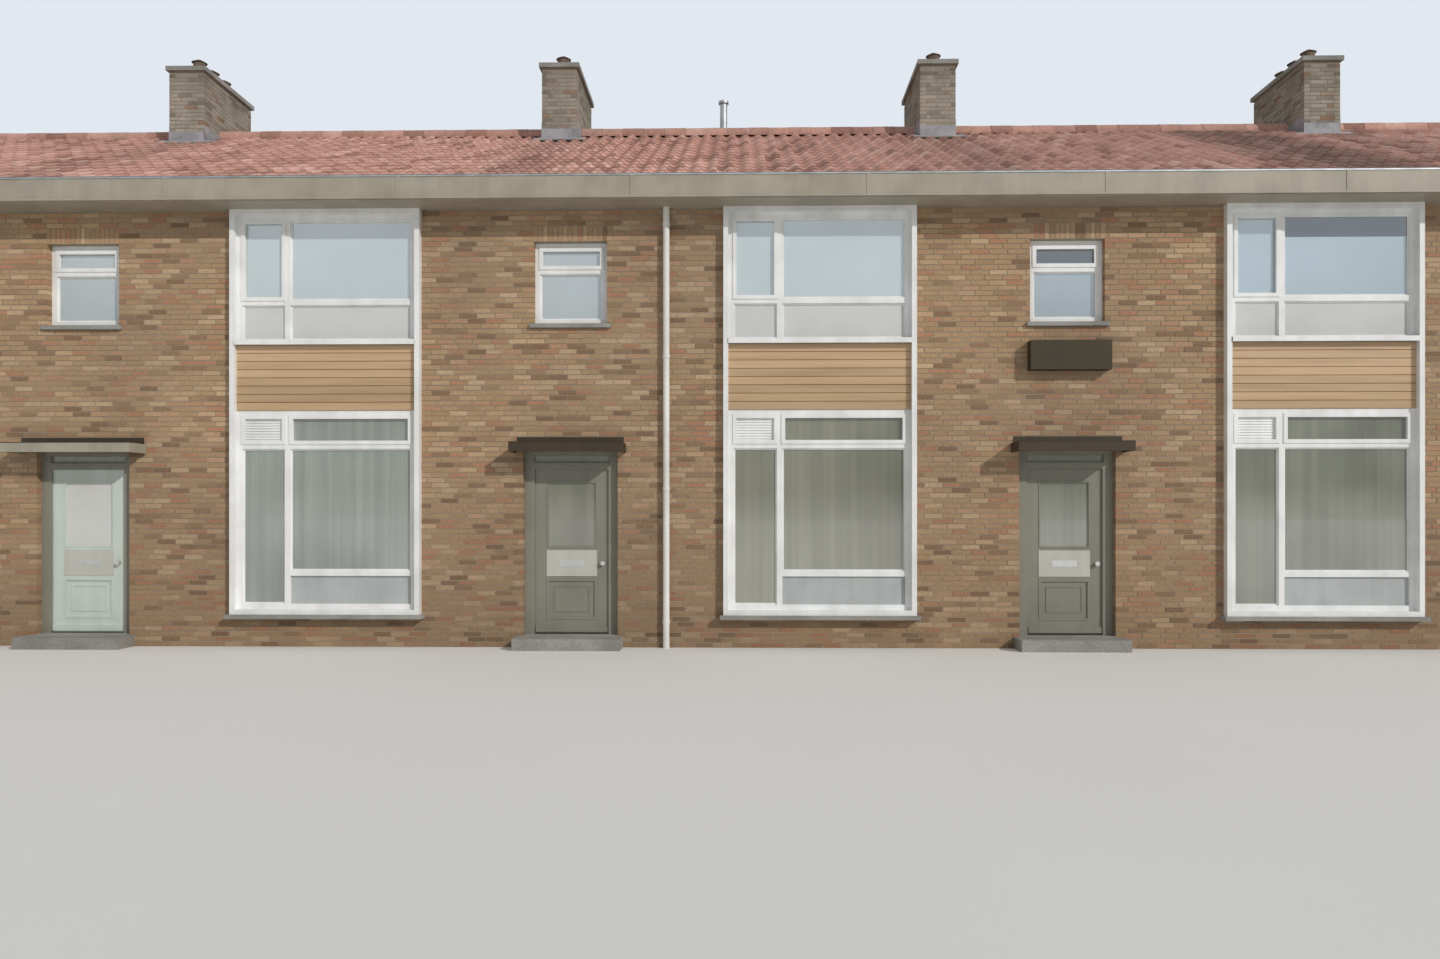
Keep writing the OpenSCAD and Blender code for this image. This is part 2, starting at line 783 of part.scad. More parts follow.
module rear_windows(i, glazing) {
    up_open_h = rear_up_head - rear_up_z;
    low_open_h = rear_low_head - rear_low_z;
    for (s = [[rear_door_x, rear_up_z, door_w, up_open_h, 2],
            [rear_win_x, rear_up_z, rear_win_w, up_open_h, 3],
            [rear_win_x, rear_low_z, rear_win_w, low_open_h, 3]])
        at_rear(i, s[0], s[1])
            if (glazing) panes(frame_d, light_cells(s[2], s[3], s[4]));
            else frame_with_cells(s[2], s[3], frame_d, light_cells(s[2], s[3], s[4]));
}

module rear_window_frames() {
    color("white") for (i = [0:house_count - 1]) rear_windows(i, false);
}

module rear_glass() {
    color("lightblue") for (i = [0:house_count - 1]) {
        rear_windows(i, true);
        at_rear(i, rear_door_x, floor_z) panes(frame_d, fanlight_cells());
        at_rear(i, rear_door_x + jamb + stile_w, leaf_z + light_z)
            translate([0, leaf_y0 - frame_y + (leaf_t - glass_t)/2, 0])
                cube([door_w - 2*jamb - 2*stile_w, glass_t, light_h]);
    }
}

module rear_door_frames() {
    color("white") for (i = [0:house_count - 1]) at_rear(i, rear_door_x, floor_z) door_frame();
}

// The rear doors stay shut, so each leaf fills its rebate
module rear_doors() {
    w = door_w - 2*jamb;
    color("darkseagreen") for (i = [0:house_count - 1])
        at_rear(i, rear_door_x + jamb, floor_z) translate([0, leaf_y0 - frame_y - stop_gap, 0])
            difference() {
                cube([w, leaf_t + stop_gap, leaf_top - floor_z + leaf_gap]);
                translate([stile_w, -1, light_z + leaf_gap])
                    cube([w - 2*stile_w, leaf_t + stop_gap + 2, light_h]);
            }
}

front_piers();
over_door_walls();
landing_jamb_walls();
strip_walls();
rear_piers();
rear_infill_walls();
party_walls();
gable_walls();
ground_floors();
first_floors();
roof_front();
roof_rear();
ridge_tiles();
front_gutter();
rear_gutter();
verge_boards();
downpipes();
vent_pipe();
chimney_stacks();
chimney_caps();
flue_terminals();
strip_side_boards();
strip_end_boards();
lower_strip_frames();
upper_strip_frames();
strip_glass();
strip_panels();
kick_panels();
landing_frames();
small_glass();
window_sills();
window_box();
canopies();
doorsteps();
thresholds();
door_frames();
door_hinges();
rear_window_frames();
rear_door_frames();
rear_doors();
rear_glass();
for (i = [0:house_count - 1]) {
    door_leaf(i);
    door_pane(i);
    door_metalwork(i);
}
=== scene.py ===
import math
import random

import bmesh
import bpy
import numpy as np
from bpy.props import FloatProperty, FloatVectorProperty, IntProperty, PointerProperty
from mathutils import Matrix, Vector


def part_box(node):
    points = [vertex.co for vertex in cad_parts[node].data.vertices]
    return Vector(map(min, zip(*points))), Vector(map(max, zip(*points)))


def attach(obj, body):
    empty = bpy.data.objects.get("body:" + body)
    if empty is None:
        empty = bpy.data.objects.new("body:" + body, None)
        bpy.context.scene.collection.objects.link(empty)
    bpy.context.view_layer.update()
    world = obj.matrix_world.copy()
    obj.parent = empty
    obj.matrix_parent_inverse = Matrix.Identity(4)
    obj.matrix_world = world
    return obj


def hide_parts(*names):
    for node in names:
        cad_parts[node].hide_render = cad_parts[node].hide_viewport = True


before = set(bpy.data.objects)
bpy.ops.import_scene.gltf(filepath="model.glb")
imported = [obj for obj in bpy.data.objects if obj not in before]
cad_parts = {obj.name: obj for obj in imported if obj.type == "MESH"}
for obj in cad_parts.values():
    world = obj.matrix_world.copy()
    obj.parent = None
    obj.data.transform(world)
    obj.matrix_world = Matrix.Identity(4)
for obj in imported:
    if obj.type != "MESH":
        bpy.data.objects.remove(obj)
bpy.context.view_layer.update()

bl_info = {
    "name": "Brick Terrace Dressing",
    "version": (1, 0, 0),
    "blender": (4, 5, 0),
    "location": "3D View > Sidebar > Terrace",
    "description": "Lays the bricks, tiles, joinery and finishes of a row of brick houses",
    "category": "Add Mesh",
}

ROW = "terrace"
X, Y, Z = range(3)
HOUSES = sum(name.startswith("front_door_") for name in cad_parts)


# Reading the frame

def solids(node):
    """The boxes of a CAD node's separate solids, as (lowest, highest) corners from left to right."""
    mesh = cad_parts[node].data
    spots, place = {}, []
    for vertex in mesh.vertices:
        place.append(spots.setdefault(tuple(round(c, 4) for c in vertex.co), len(spots)))
    parent = list(range(len(spots)))

    def root(i):
        while parent[i] != i:
            parent[i] = parent[parent[i]]
            i = parent[i]
        return i

    for edge in mesh.edges:
        parent[root(place[edge.vertices[0]])] = root(place[edge.vertices[1]])
    groups = {}
    for spot, i in spots.items():
        groups.setdefault(root(i), []).append(spot)
    boxes = [(np.min(g, 0), np.max(g, 0)) for g in groups.values()]
    return sorted(boxes, key=lambda box: [round(box[0][axis], 3) for axis in (X, Z, Y)])


def node_box(node):
    """A CAD node's box as two arrays."""
    lo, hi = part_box(node)
    return np.array(lo), np.array(hi)


def node_span(node, axis):
    """A CAD node's lowest and highest place along an axis."""
    return tuple(corner[axis] for corner in node_box(node))


HAIR = 0.001  # metres within which two places count as one
BITE = 0.002  # how far a piece reaches into its neighbour or keeps clear of it
FRONT = node_span("front_piers", Y)[0]
ROW_X = node_span("front_piers", X)
PANEL_LOW, PANEL_HIGH = node_span("strip_panels", Z)
GUTTER_Z = node_span("front_gutter", Z)[0]
RIDGE_Z = node_span("roof_front", Z)[1]
EAVES_Y = node_span("roof_rear", Y)[1]
ROOF_X = node_span("roof_front", X)
ROOF_SPOTS = [tuple(vertex.co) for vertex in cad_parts["roof_front"].data.vertices]
EAVES_Z = max(z for _, y, z in ROOF_SPOTS if y < HAIR - EAVES_Y)
UNDER_RIDGE = min(z for _, y, z in ROOF_SPOTS if abs(y) < HAIR)
FALL = (RIDGE_Z - EAVES_Z) / EAVES_Y
SLOPE_LENGTH = math.hypot(EAVES_Y, RIDGE_Z - EAVES_Z)
ROOF_THICK = (RIDGE_Z - UNDER_RIDGE) * EAVES_Y / SLOPE_LENGTH


# Sizes and colours

def length(name, text, default):
    """A length that a user may change, in metres."""
    return FloatProperty(name=name, description=text, default=default, unit="LENGTH")


def angle(name, text, default):
    """An angle that a user may change, in radians."""
    return FloatProperty(name=name, description=text, default=default, subtype="ANGLE")


def number(name, text, default, unit="NONE"):
    """A plain number that a user may change."""
    return FloatProperty(name=name, description=text, default=default, unit=unit)


def colour(name, text, default):
    """A colour that a user may change, written as display red, green and blue from 0 to 255."""
    linear = [c / 255 / 12.92 if c < 11 else ((c / 255 + 0.055) / 1.055) ** 2.4 for c in default]
    return FloatVectorProperty(name=name, description=text, default=linear, subtype="COLOR",
                               size=3, min=0, max=1)


class BrickSettings(bpy.types.PropertyGroup):
    """Sizes and colours of the brickwork."""
    brick_length: length("Brick length", "Length of a stretcher", 0.21)
    brick_height: length("Brick height", "Height of a brick", 0.051)
    joint: length("Joint", "Width of the mortar joints", 0.0115)
    proud: length("Proud", "How far the bricks stand out of the mortar", 0.004)
    return_depth: length("Return", "Depth of the bricks that turn into an opening", 0.088)
    closer: length("Least piece", "Shortest cut brick that is laid", 0.045)
    soldier_height: length("Soldier height", "Height of the upright bricks over an opening", 0.21)
    light: colour("Light brick", "Palest of the front bricks", (197, 170, 139))
    middle: colour("Middle brick", "Commonest of the front bricks", (176, 147, 116))
    dark: colour("Dark brick", "Darkest of the front bricks", (139, 112, 88))
    red: colour("Red brick", "Redder bricks mixed in", (177, 135, 107))
    stack: colour("Chimney brick", "Weathered brick of the chimneys", (164, 156, 144))
    mortar: colour("Mortar", "Lime and cement mortar", (172, 160, 142))
    damp: length("Damp", "Height up to which damp darkens the walls", 3.0)
    soot: length("Soot", "How far under the ridge the chimneys' soot begins", 0.3)


class RoofSettings(bpy.types.PropertyGroup):
    """Sizes and colours of the tiled roof."""
    tile_width: length("Tile width", "Covering width of a pantile", 0.205)
    gauge: length("Gauge", "Covering length of a pantile", 0.33)
    lap: length("Lap", "How far a tile runs under the one above", 0.075)
    wave: length("Wave", "Height of a pantile's roll over its trough", 0.046)
    thickness: length("Tile thickness", "Thickness of a tile's edge", 0.014)
    tilt: length("Tilt", "Rise of a tile's lower edge over its head", 0.02)
    depth: length("Tile depth", "Depth of the tiled layer over the roof deck", 0.085)
    ridge_tile: length("Ridge tile", "Covering length of a ridge tile", 0.34)
    light: colour("Light tile", "Palest tiles", (223, 184, 172))
    middle: colour("Middle tile", "Commonest tiles", (204, 160, 147))
    dark: colour("Dark tile", "Darkest tiles", (162, 121, 109))
    weathered: colour("Weathered tile", "Stained tiles under one chimney", (104, 82, 72))
    stain_x: length("Stain place", "Middle of the most stained stretch of the roof", 7.4)
    stain_width: length("Stain width", "Reach of that stain to each side", 1.1)


class JoinerySettings(bpy.types.PropertyGroup):
    """Colours of the woodwork, glass and metal, and the sizes that doors and windows share."""
    white: colour("White paint", "Paint of the window frames", (243, 243, 242))
    kick: colour("Kick panel paint", "Paint of the panels under the lower windows", (182, 187, 187))
    cream: colour("Eaves paint", "Paint of the gutters and verges", (171, 162, 145))
    panel: colour("Panel stain", "Boards between the storeys", (201, 171, 136))
    # Upper glass colour: a pale painted sky reflection. Lower glass colour: a dimmer painted street
    # reflection, together with the nets behind it.
    sky_glass: colour("Upper glass", "Glass that faces the sky", (209, 222, 227))
    # Landing glass colour: the upper glass's painted sky reflection made darker, so that it also paints
    # the shade of the small windows' reveals
    landing_glass: colour("Landing glass", "Glass of the small windows", (192, 202, 205))
    street_reflection_glass: colour("Lower glass", "Glass that faces the street", (158, 160, 146))
    dark_glass: colour("Dark glass", "Glass before the dark blinds of one house", (34, 52, 62))
    opal_glass: colour("Opal glass", "Bottom lights of the upper windows", (211, 211, 208))
    door: colour("Door paint", "Paint of most front doors", (139, 137, 124))
    pale_door: colour("Pale door paint", "Paint of one front door", (205, 215, 206))
    door_band: colour("Door band", "Middle rail of the front doors", (197, 196, 187))
    canopy: colour("Canopy", "Fascia of the canopies", (61, 47, 27))
    pale_canopy: colour("Pale canopy", "Fascia of the wider canopy", (166, 160, 142))
    lead: colour("Lead", "Flashings", (168, 165, 168))
    pipe: colour("Pipe", "Downpipes", (230, 228, 222))
    box: colour("Window box", "Wood of the window box", (61, 50, 26))
    bead: length("Bead", "Width of the glazing beads", 0.018)
    moulding: length("Moulding", "Width of the mouldings round a door's panel", 0.03)
    margin: length("Margin", "From a weatherboard to the edges of its door", 0.02)
    weather: length("Weatherboard", "Height of the weatherboards", 0.07)


class StageSettings(bpy.types.PropertyGroup):
    """The floor, the lamps and the camera."""
    floor: colour("Floor", "Plain floor", (238, 236, 232))
    backdrop: colour("Backdrop", "Plain background", (226, 232, 240))
    eye: length("Eye height", "Height of the camera over the ground", 1.6)
    distance: length("Distance", "From the camera to the front wall", 12.6)
    aside: length("Aside", "Place of the camera along the row", -0.1)
    lens: number("Lens", "Focal length in millimetres", 26.0, "CAMERA")
    shift: number("Lens shift", "Rise of the lens as a share of the picture's width", 0.0251)
    look_left: angle("Look left", "How far the camera looks left", math.radians(1.19))
    sun_strength: number("Sun strength", "Strength of the sun lamp", 1.9)
    sun_height: angle("Sun height", "Rise of the sun over the horizon", math.radians(28.0))
    sun_side: angle("Sun side", "How far right of the row's front the sun stands", math.radians(45.0))
    sun_softness: angle("Sun softness", "Width of the sun's disc", math.radians(1.2))
    sky_strength: number("Sky strength", "Strength of the sky's light", 0.42)


SETTINGS = {"bricks": BrickSettings, "roof": RoofSettings, "joinery": JoinerySettings,
            "stage": StageSettings}


def chosen(group):
    """A settings group of this scene."""
    return getattr(bpy.context.scene, "terrace_" + group)


# Finishes

WHITE = (1.0, 1.0, 1.0)
GLASS_IOR = 2.6  # over glass's own, so that the panes mirror the sky as two sheets do

# Tints of the nets downstairs and of the blinds upstairs, for each house from left to right
HOUSE_NETS = (WHITE, (1.1, 1.18, 1.32), (0.92, 0.9, 0.86), (0.88, 0.91, 0.9), (1.0, 0.98, 0.94))
HOUSE_BLINDS = (WHITE, (1.0, 1.0, 0.98), (0.98, 0.99, 0.98), (0.78, 0.86, 0.92), (0.96, 0.98, 1.0))


class Finish:
    """A procedural material, with short calls for the nodes that the finishes share."""

    def __init__(self, name, **sockets):
        self.material = bpy.data.materials.new(name)
        self.material.use_nodes = True
        self.nodes = self.material.node_tree.nodes
        self.link = self.material.node_tree.links.new
        self.surface = self.nodes["Principled BSDF"]
        self.place = self.nodes.new("ShaderNodeTexCoord").outputs["Object"]
        for key, value in sockets.items():
            socket = key.replace("_", " ").title().replace("Ior", "IOR")
            self.surface.inputs[socket].default_value = value

    def node(self, kind, **values):
        """A new node with some of its inputs set."""
        node = self.nodes.new("ShaderNode" + kind)
        for name, value in values.items():
            node.inputs[name.replace("_", " ").title()].default_value = value
        return node

    def noise(self, scale, detail=3.0, stretch=(1, 1, 1)):
        """Cloudy noise over the object's own place, finer with a larger scale."""
        moved = self.node("Mapping", scale=stretch)
        noise = self.node("TexNoise", scale=scale, detail=detail)
        self.link(self.place, moved.inputs["Vector"])
        self.link(moved.outputs["Vector"], noise.inputs["Vector"])
        return noise.outputs["Fac"]

    def span(self, low, high, axis="Z"):
        """0 at one height, or place along another axis, and 1 at the other."""
        split, span = self.node("SeparateXYZ"), self.node("MapRange", from_min=low, from_max=high)
        self.link(self.place, split.inputs["Vector"])
        self.link(split.outputs[axis], span.inputs["Value"])
        return span.outputs["Result"]

    def tone(self, name="tone"):
        """A value that the mesh holds for each face."""
        node = self.node("Attribute")
        node.attribute_name = name
        return node.outputs["Fac"]

    def ramp(self, source, *stops, sharp=False):
        """Colours along a value from 0 to 1, given as (place, colour) pairs."""
        node = self.node("ValToRGB")
        node.color_ramp.interpolation = "CONSTANT" if sharp else "LINEAR"
        fill_ramp(node, stops)
        self.link(source, node.inputs["Fac"])
        return node.outputs["Color"]

    def mix(self, share, first, second, blend="MIX"):
        """Mixes two colours. Each value is a socket or stands by itself."""
        node = self.node("Mix")
        node.data_type = "RGBA"
        node.blend_type = blend
        for socket, value in zip((node.inputs[0], node.inputs[6], node.inputs[7]),
                                 (share, first, second)):
            if isinstance(value, bpy.types.NodeSocket):
                self.link(value, socket)
            else:
                socket.default_value = value if socket == node.inputs[0] else (*value, 1)
        return node.outputs[2]

    def product(self, first, *others):
        """Multiplies colour sockets."""
        for other in others:
            first = self.mix(1.0, first, other, "MULTIPLY")
        return first

    def coat(self, *layers):
        """Uses one colour socket, or the product of several, as the base colour."""
        self.link(self.product(*layers), self.surface.inputs["Base Color"])
        return self

    def bump(self, source, strength, distance):
        """Raises the surface by a value."""
        node = self.node("Bump", strength=strength, distance=distance)
        self.link(source, node.inputs["Height"])
        self.link(node.outputs["Normal"], self.surface.inputs["Normal"])
        return self


def fill_ramp(node, stops):
    """Sets a colour ramp's stops."""
    elements = node.color_ramp.elements
    while len(elements) < len(stops):
        elements.new(0.5)
    for element, (place, tint) in zip(elements, stops):
        element.position, element.color = place, (*tint, 1)


def shade(base, factor):
    """A colour made lighter or darker."""
    return tuple(min(1.0, c * factor) for c in base)


def brick(name):
    """Fired clay with grit, in clouds along the wall, damp near the ground."""
    b = chosen("bricks")
    f = Finish(name, roughness=0.88, specular_ior_level=0.2)
    burnt = f.ramp(f.tone(), (0.0, b.dark), (0.22, b.middle), (0.6, b.middle), (0.8, b.light),
                   (0.92, b.red), (1.0, b.red))
    cloud = f.ramp(f.noise(0.5), (0.35, (0.86, 0.86, 0.87)), (0.65, (1.06, 1.04, 1.0)))
    grit = f.ramp(f.noise(55, 5), (0.3, (0.8, 0.79, 0.78)), (0.7, (1.1, 1.09, 1.08)))
    damp = f.ramp(f.span(0.0, b.damp), (0.0, (0.74, 0.73, 0.72)), (0.4, (0.88, 0.87, 0.87)),
                  (1.0, WHITE))
    return f.coat(burnt, cloud, grit, damp).bump(f.noise(120, 4), 0.5, 0.003)


def chimney_brick(name):
    """Weathered brick, with streaks and with soot towards the top."""
    b = chosen("bricks")
    f = Finish(name, roughness=0.92, specular_ior_level=0.2)
    burnt = f.ramp(f.tone(), (0.0, shade(b.stack, 0.62)), (0.4, b.stack), (0.9, shade(b.stack, 1.15)),
                   (1.0, shade(b.red, 0.7)))
    soot = f.ramp(f.span(RIDGE_Z - b.soot, node_span("chimney_caps", Z)[1]),
                  (0.0, WHITE), (0.6, (0.93, 0.92, 0.9)), (1.0, (0.66, 0.65, 0.64)))
    streak = f.ramp(f.noise(3, 4, (1, 1, 0.2)), (0.35, (0.82, 0.82, 0.82)), (0.6, (1.04, 1.04, 1.04)))
    return f.coat(burnt, soot, streak).bump(f.noise(110, 4), 0.5, 0.003)


def mortar(name):
    """Sandy mortar with damp patches."""
    b = chosen("bricks")
    f = Finish(name, roughness=0.95, specular_ior_level=0.2)
    sand = f.ramp(f.noise(90, 5), (0.3, shade(b.mortar, 0.72)), (0.7, b.mortar))
    damp = f.ramp(f.noise(0.9, 3), (0.35, (0.8, 0.79, 0.77)), (0.65, WHITE))
    return f.coat(sand, damp).bump(f.noise(220, 3), 0.6, 0.002)


def tile(name):
    """Fired tiles with stains, lichen and runs down the slope."""
    r = chosen("roof")
    f = Finish(name, roughness=0.82, specular_ior_level=0.2)
    fired = f.ramp(f.tone(), (0.0, r.dark), (0.3, r.middle), (0.72, r.middle), (1.0, r.light))
    stained = f.mix(f.tone("stain"), fired, r.weathered)
    lichen = f.ramp(f.noise(14, 5), (0.34, (0.84, 0.85, 0.82)), (0.6, (1.04, 1.03, 1.02)))
    run = f.ramp(f.noise(2.2, 4, (1, 0.25, 0.25)), (0.3, (0.9, 0.89, 0.88)), (0.62, (1.03, 1.03, 1.03)))
    return f.coat(stained, lichen, run).bump(f.noise(85, 4), 0.4, 0.003)


def painted(name, paint, wear, roughness):
    """Gloss paint on planed wood: faint grain, dirt in patches and run marks."""
    base = getattr(chosen("joinery"), paint)
    f = Finish(name, roughness=roughness)
    dirt = f.ramp(f.noise(2.4, 5), (0.3, shade(base, wear)), (0.6, base))
    runs = f.ramp(f.noise(8, 3, (1, 1, 0.1)), (0.32, (0.93, 0.925, 0.91)), (0.6, WHITE))
    return f.coat(dirt, runs).bump(f.noise(26, 4, (1, 1, 0.12)), 0.15, 0.001)


def stained_board(name):
    """Stained boards, each with a tone and grain of its own, darker towards the panel's foot."""
    base = chosen("joinery").panel
    f = Finish(name, roughness=0.5)
    board = f.ramp(f.tone(), (0.0, shade(base, 0.88)), (0.5, base), (1.0, shade(base, 1.08)))
    grain = f.ramp(f.noise(9, 6, (0.08, 1, 1.6)), (0.32, (0.88, 0.85, 0.8)), (0.62, (1.04, 1.03, 1.02)))
    bleached = f.ramp(f.span(PANEL_LOW, PANEL_HIGH), (0.3, (0.88, 0.87, 0.85)), (0.8, WHITE))
    return f.coat(board, grain, bleached).bump(f.noise(22, 5, (0.06, 1, 1.8)), 0.25, 0.0015)


def glazed(name, upper):
    """Glass whose colour holds painted reflections: a pale painted sky reflection with painted clouds
    upstairs, a dimmer painted street reflection with nets below, and other nets in each house.
    """
    base, street = getattr(chosen("joinery"), upper), chosen("joinery").street_reflection_glass
    f = Finish(name, roughness=0.03, ior=GLASS_IOR, transmission_weight=0.2)
    # Painted sky reflection, with clouds painted in by the noise
    pale = f.ramp(f.noise(0.55, 3), (0.3, shade(base, 0.85)), (0.62, base))
    # Painted reflection of the street in darker and lighter patches, together with the nets behind the
    # glass
    painted_street_reflection = f.ramp(f.noise(0.7, 2), (0.32, shade(street, 0.72)), (0.5, street), (0.7, shade(street, 1.2)))
    nets, blinds = (f.ramp(f.span(*ROW_X, "X"), *((k / HOUSES, tint) for k, tint in enumerate(tints)),
                           sharp=True) for tints in (HOUSE_NETS, HOUSE_BLINDS))
    folds = f.ramp(f.noise(13, 3, (1, 1, 0.015)), (0.34, (0.86, 0.86, 0.87)), (0.64, (1.05, 1.05, 1.04)))
    # Under the panels: the painted street reflection with nets and their folds. Over them: the painted sky
    # reflection with blinds.
    return f.coat(f.mix(f.span(PANEL_LOW, PANEL_HIGH), f.product(painted_street_reflection, nets, folds),
                        f.product(pale, blinds)))


def concrete(name):
    """Sandy concrete with damp patches."""
    f = Finish(name, roughness=0.9)
    sand = f.ramp(f.noise(60, 6), (0.3, (0.27, 0.26, 0.24)), (0.7, (0.4, 0.39, 0.365)))
    damp = f.ramp(f.noise(1.8, 4), (0.34, (0.68, 0.67, 0.64)), (0.62, WHITE))
    return f.coat(sand, damp).bump(f.noise(150, 4), 0.5, 0.002)


def clouded(name, sockets, cloud, low, high, relief=None, strength=0.0, depth=0.0):
    """A finish between two colours. cloud and relief are noises, low and high stops of the ramp.

    The colours are written out, or taken from the joinery's settings by name and factor."""
    f = Finish(name, **sockets)
    stops = [(place, tint if len(tint) == 3 else shade(getattr(chosen("joinery"), tint[0]), tint[1]))
             for place, tint in (low, high)]
    f.coat(f.ramp(f.noise(*cloud), *stops))
    return f.bump(f.noise(*relief), strength, depth) if relief else f


# How each finish is made: its maker, then what the maker is told
FINISHES = {
    "brick": (brick,), "chimney_brick": (chimney_brick,), "mortar": (mortar,), "tile": (tile,),
    "stained_board": (stained_board,), "concrete": (concrete,),
    "glass": (glazed, "sky_glass"), "landing_glass": (glazed, "landing_glass"),
    "white_paint": (painted, "white", 0.86, 0.42), "kick_paint": (painted, "kick", 0.86, 0.42),
    "cream_paint": (painted, "cream", 0.82, 0.5), "door": (painted, "door", 0.88, 0.36),
    "pale_door": (painted, "pale_door", 0.92, 0.36), "door_band": (painted, "door_band", 0.92, 0.38),
    "canopy": (painted, "canopy", 0.78, 0.6), "pale_canopy": (painted, "pale_canopy", 0.84, 0.55),
    "window_box": (painted, "box", 0.75, 0.7), "pipe": (painted, "pipe", 0.88, 0.5),
    "dark_glass": (clouded, {"roughness": 0.03, "ior": GLASS_IOR}, (1.2, 3),
                   (0.3, ("dark_glass", 0.8)), (0.6, ("dark_glass", 1.0))),
    "opal_glass": (clouded, {"roughness": 0.22, "ior": 1.5}, (1.6, 3),
                   (0.3, ("opal_glass", 0.9)), (0.6, ("opal_glass", 1.0))),
    "plaster": (clouded, {"roughness": 0.9}, (1.2, 3), (0.3, (0.46, 0.45, 0.42)),
                (0.6, (0.56, 0.55, 0.52)), (70, 3), 0.2, 0.001),
    "deck": (clouded, {"roughness": 0.8}, (12, 5, (1, 0.1, 0.1)), (0.3, (0.12, 0.09, 0.065)),
             (0.65, (0.23, 0.17, 0.12)), (30, 4, (1, 0.1, 0.1)), 0.3, 0.002),
    "lead": (clouded, {"roughness": 0.75, "metallic": 0.1}, (6, 5), (0.3, ("lead", 0.62)),
             (0.62, ("lead", 1.0)), (18, 3), 0.3, 0.004),
    "zinc": (clouded, {"roughness": 0.45, "metallic": 0.7}, (5, 5), (0.3, (0.3, 0.31, 0.32)),
             (0.62, (0.46, 0.47, 0.48)), (9, 3), 0.15, 0.003),
    "door_metal": (clouded, {"roughness": 0.42, "metallic": 0.85}, (12, 2), (0.3, (0.66, 0.65, 0.63)),
                   (0.6, (0.72, 0.71, 0.69))),
    "clay": (clouded, {"roughness": 0.85}, (16, 5), (0.3, (0.1, 0.07, 0.055)),
             (0.65, (0.2, 0.14, 0.105)), (60, 4), 0.4, 0.002),
}


def made(name):
    """A finish by name, made on its first use."""
    maker, *told = FINISHES[name]
    return bpy.data.materials.get(name + "_finish") or maker(name + "_finish", *told).material


# Making meshes

CORNERS = np.array([(0, 0, 0), (1, 0, 0), (1, 1, 0), (0, 1, 0),
                    (0, 0, 1), (1, 0, 1), (1, 1, 1), (0, 1, 1)])
SIDES = ((0, 1, 5, 4), (1, 2, 6, 5), (2, 3, 7, 6), (3, 0, 4, 7), (4, 5, 6, 7), (0, 3, 2, 1))
SHARP = math.radians(40)


class Face:
    """A flat face of the building: points on it are given as across, up and out."""

    def __init__(self, origin, across, up=(0, 0, 1)):
        self.origin = np.array(origin, float)
        self.across, self.up = np.array(across, float), np.array(up, float)
        self.out = np.cross(self.across, self.up)

    def at(self, local):
        """World places of local points."""
        return self.origin + np.asarray(local, float) @ np.array([self.across, self.up, self.out])

    def ends(self, *places):
        """Places along the row or, on a side face, along its depth, as sorted places on this face."""
        return sorted(place * (self.across[X] + self.across[Y]) for place in places)

    def opening(self, box):
        """A solid's ends and heights on this face, as left, right, bottom and top."""
        left, right = sorted((corner - self.origin) @ self.across for corner in box)
        return left, right, box[0][Z], box[1][Z]


def front_face(y=FRONT):
    return Face((0, y, 0), (1, 0, 0))


def rear_face(y=-FRONT):
    return Face((0, y, 0), (-1, 0, 0))


def side_face(x, right):
    return Face((x, 0, 0), (0, 1 if right else -1, 0))


def on_face(box, rear=False):
    """The front or rear face of a box, with the box's left, right, bottom and top on it."""
    face = rear_face(box[1][Y]) if rear else front_face(box[0][Y])
    return face, *face.opening(box)


def inset(opening, margin):
    """An opening made smaller on each side."""
    left, right, bottom, top = opening
    return left + margin, right - margin, bottom + margin, top - margin


def slope_face(front):
    """The tiles' plane of one roof slope, from the eaves up."""
    side = -1 if front else 1
    return Face((0, side * EAVES_Y, EAVES_Z), (-side, 0, 0),
                (0, -side * EAVES_Y / SLOPE_LENGTH, (RIDGE_Z - EAVES_Z) / SLOPE_LENGTH))


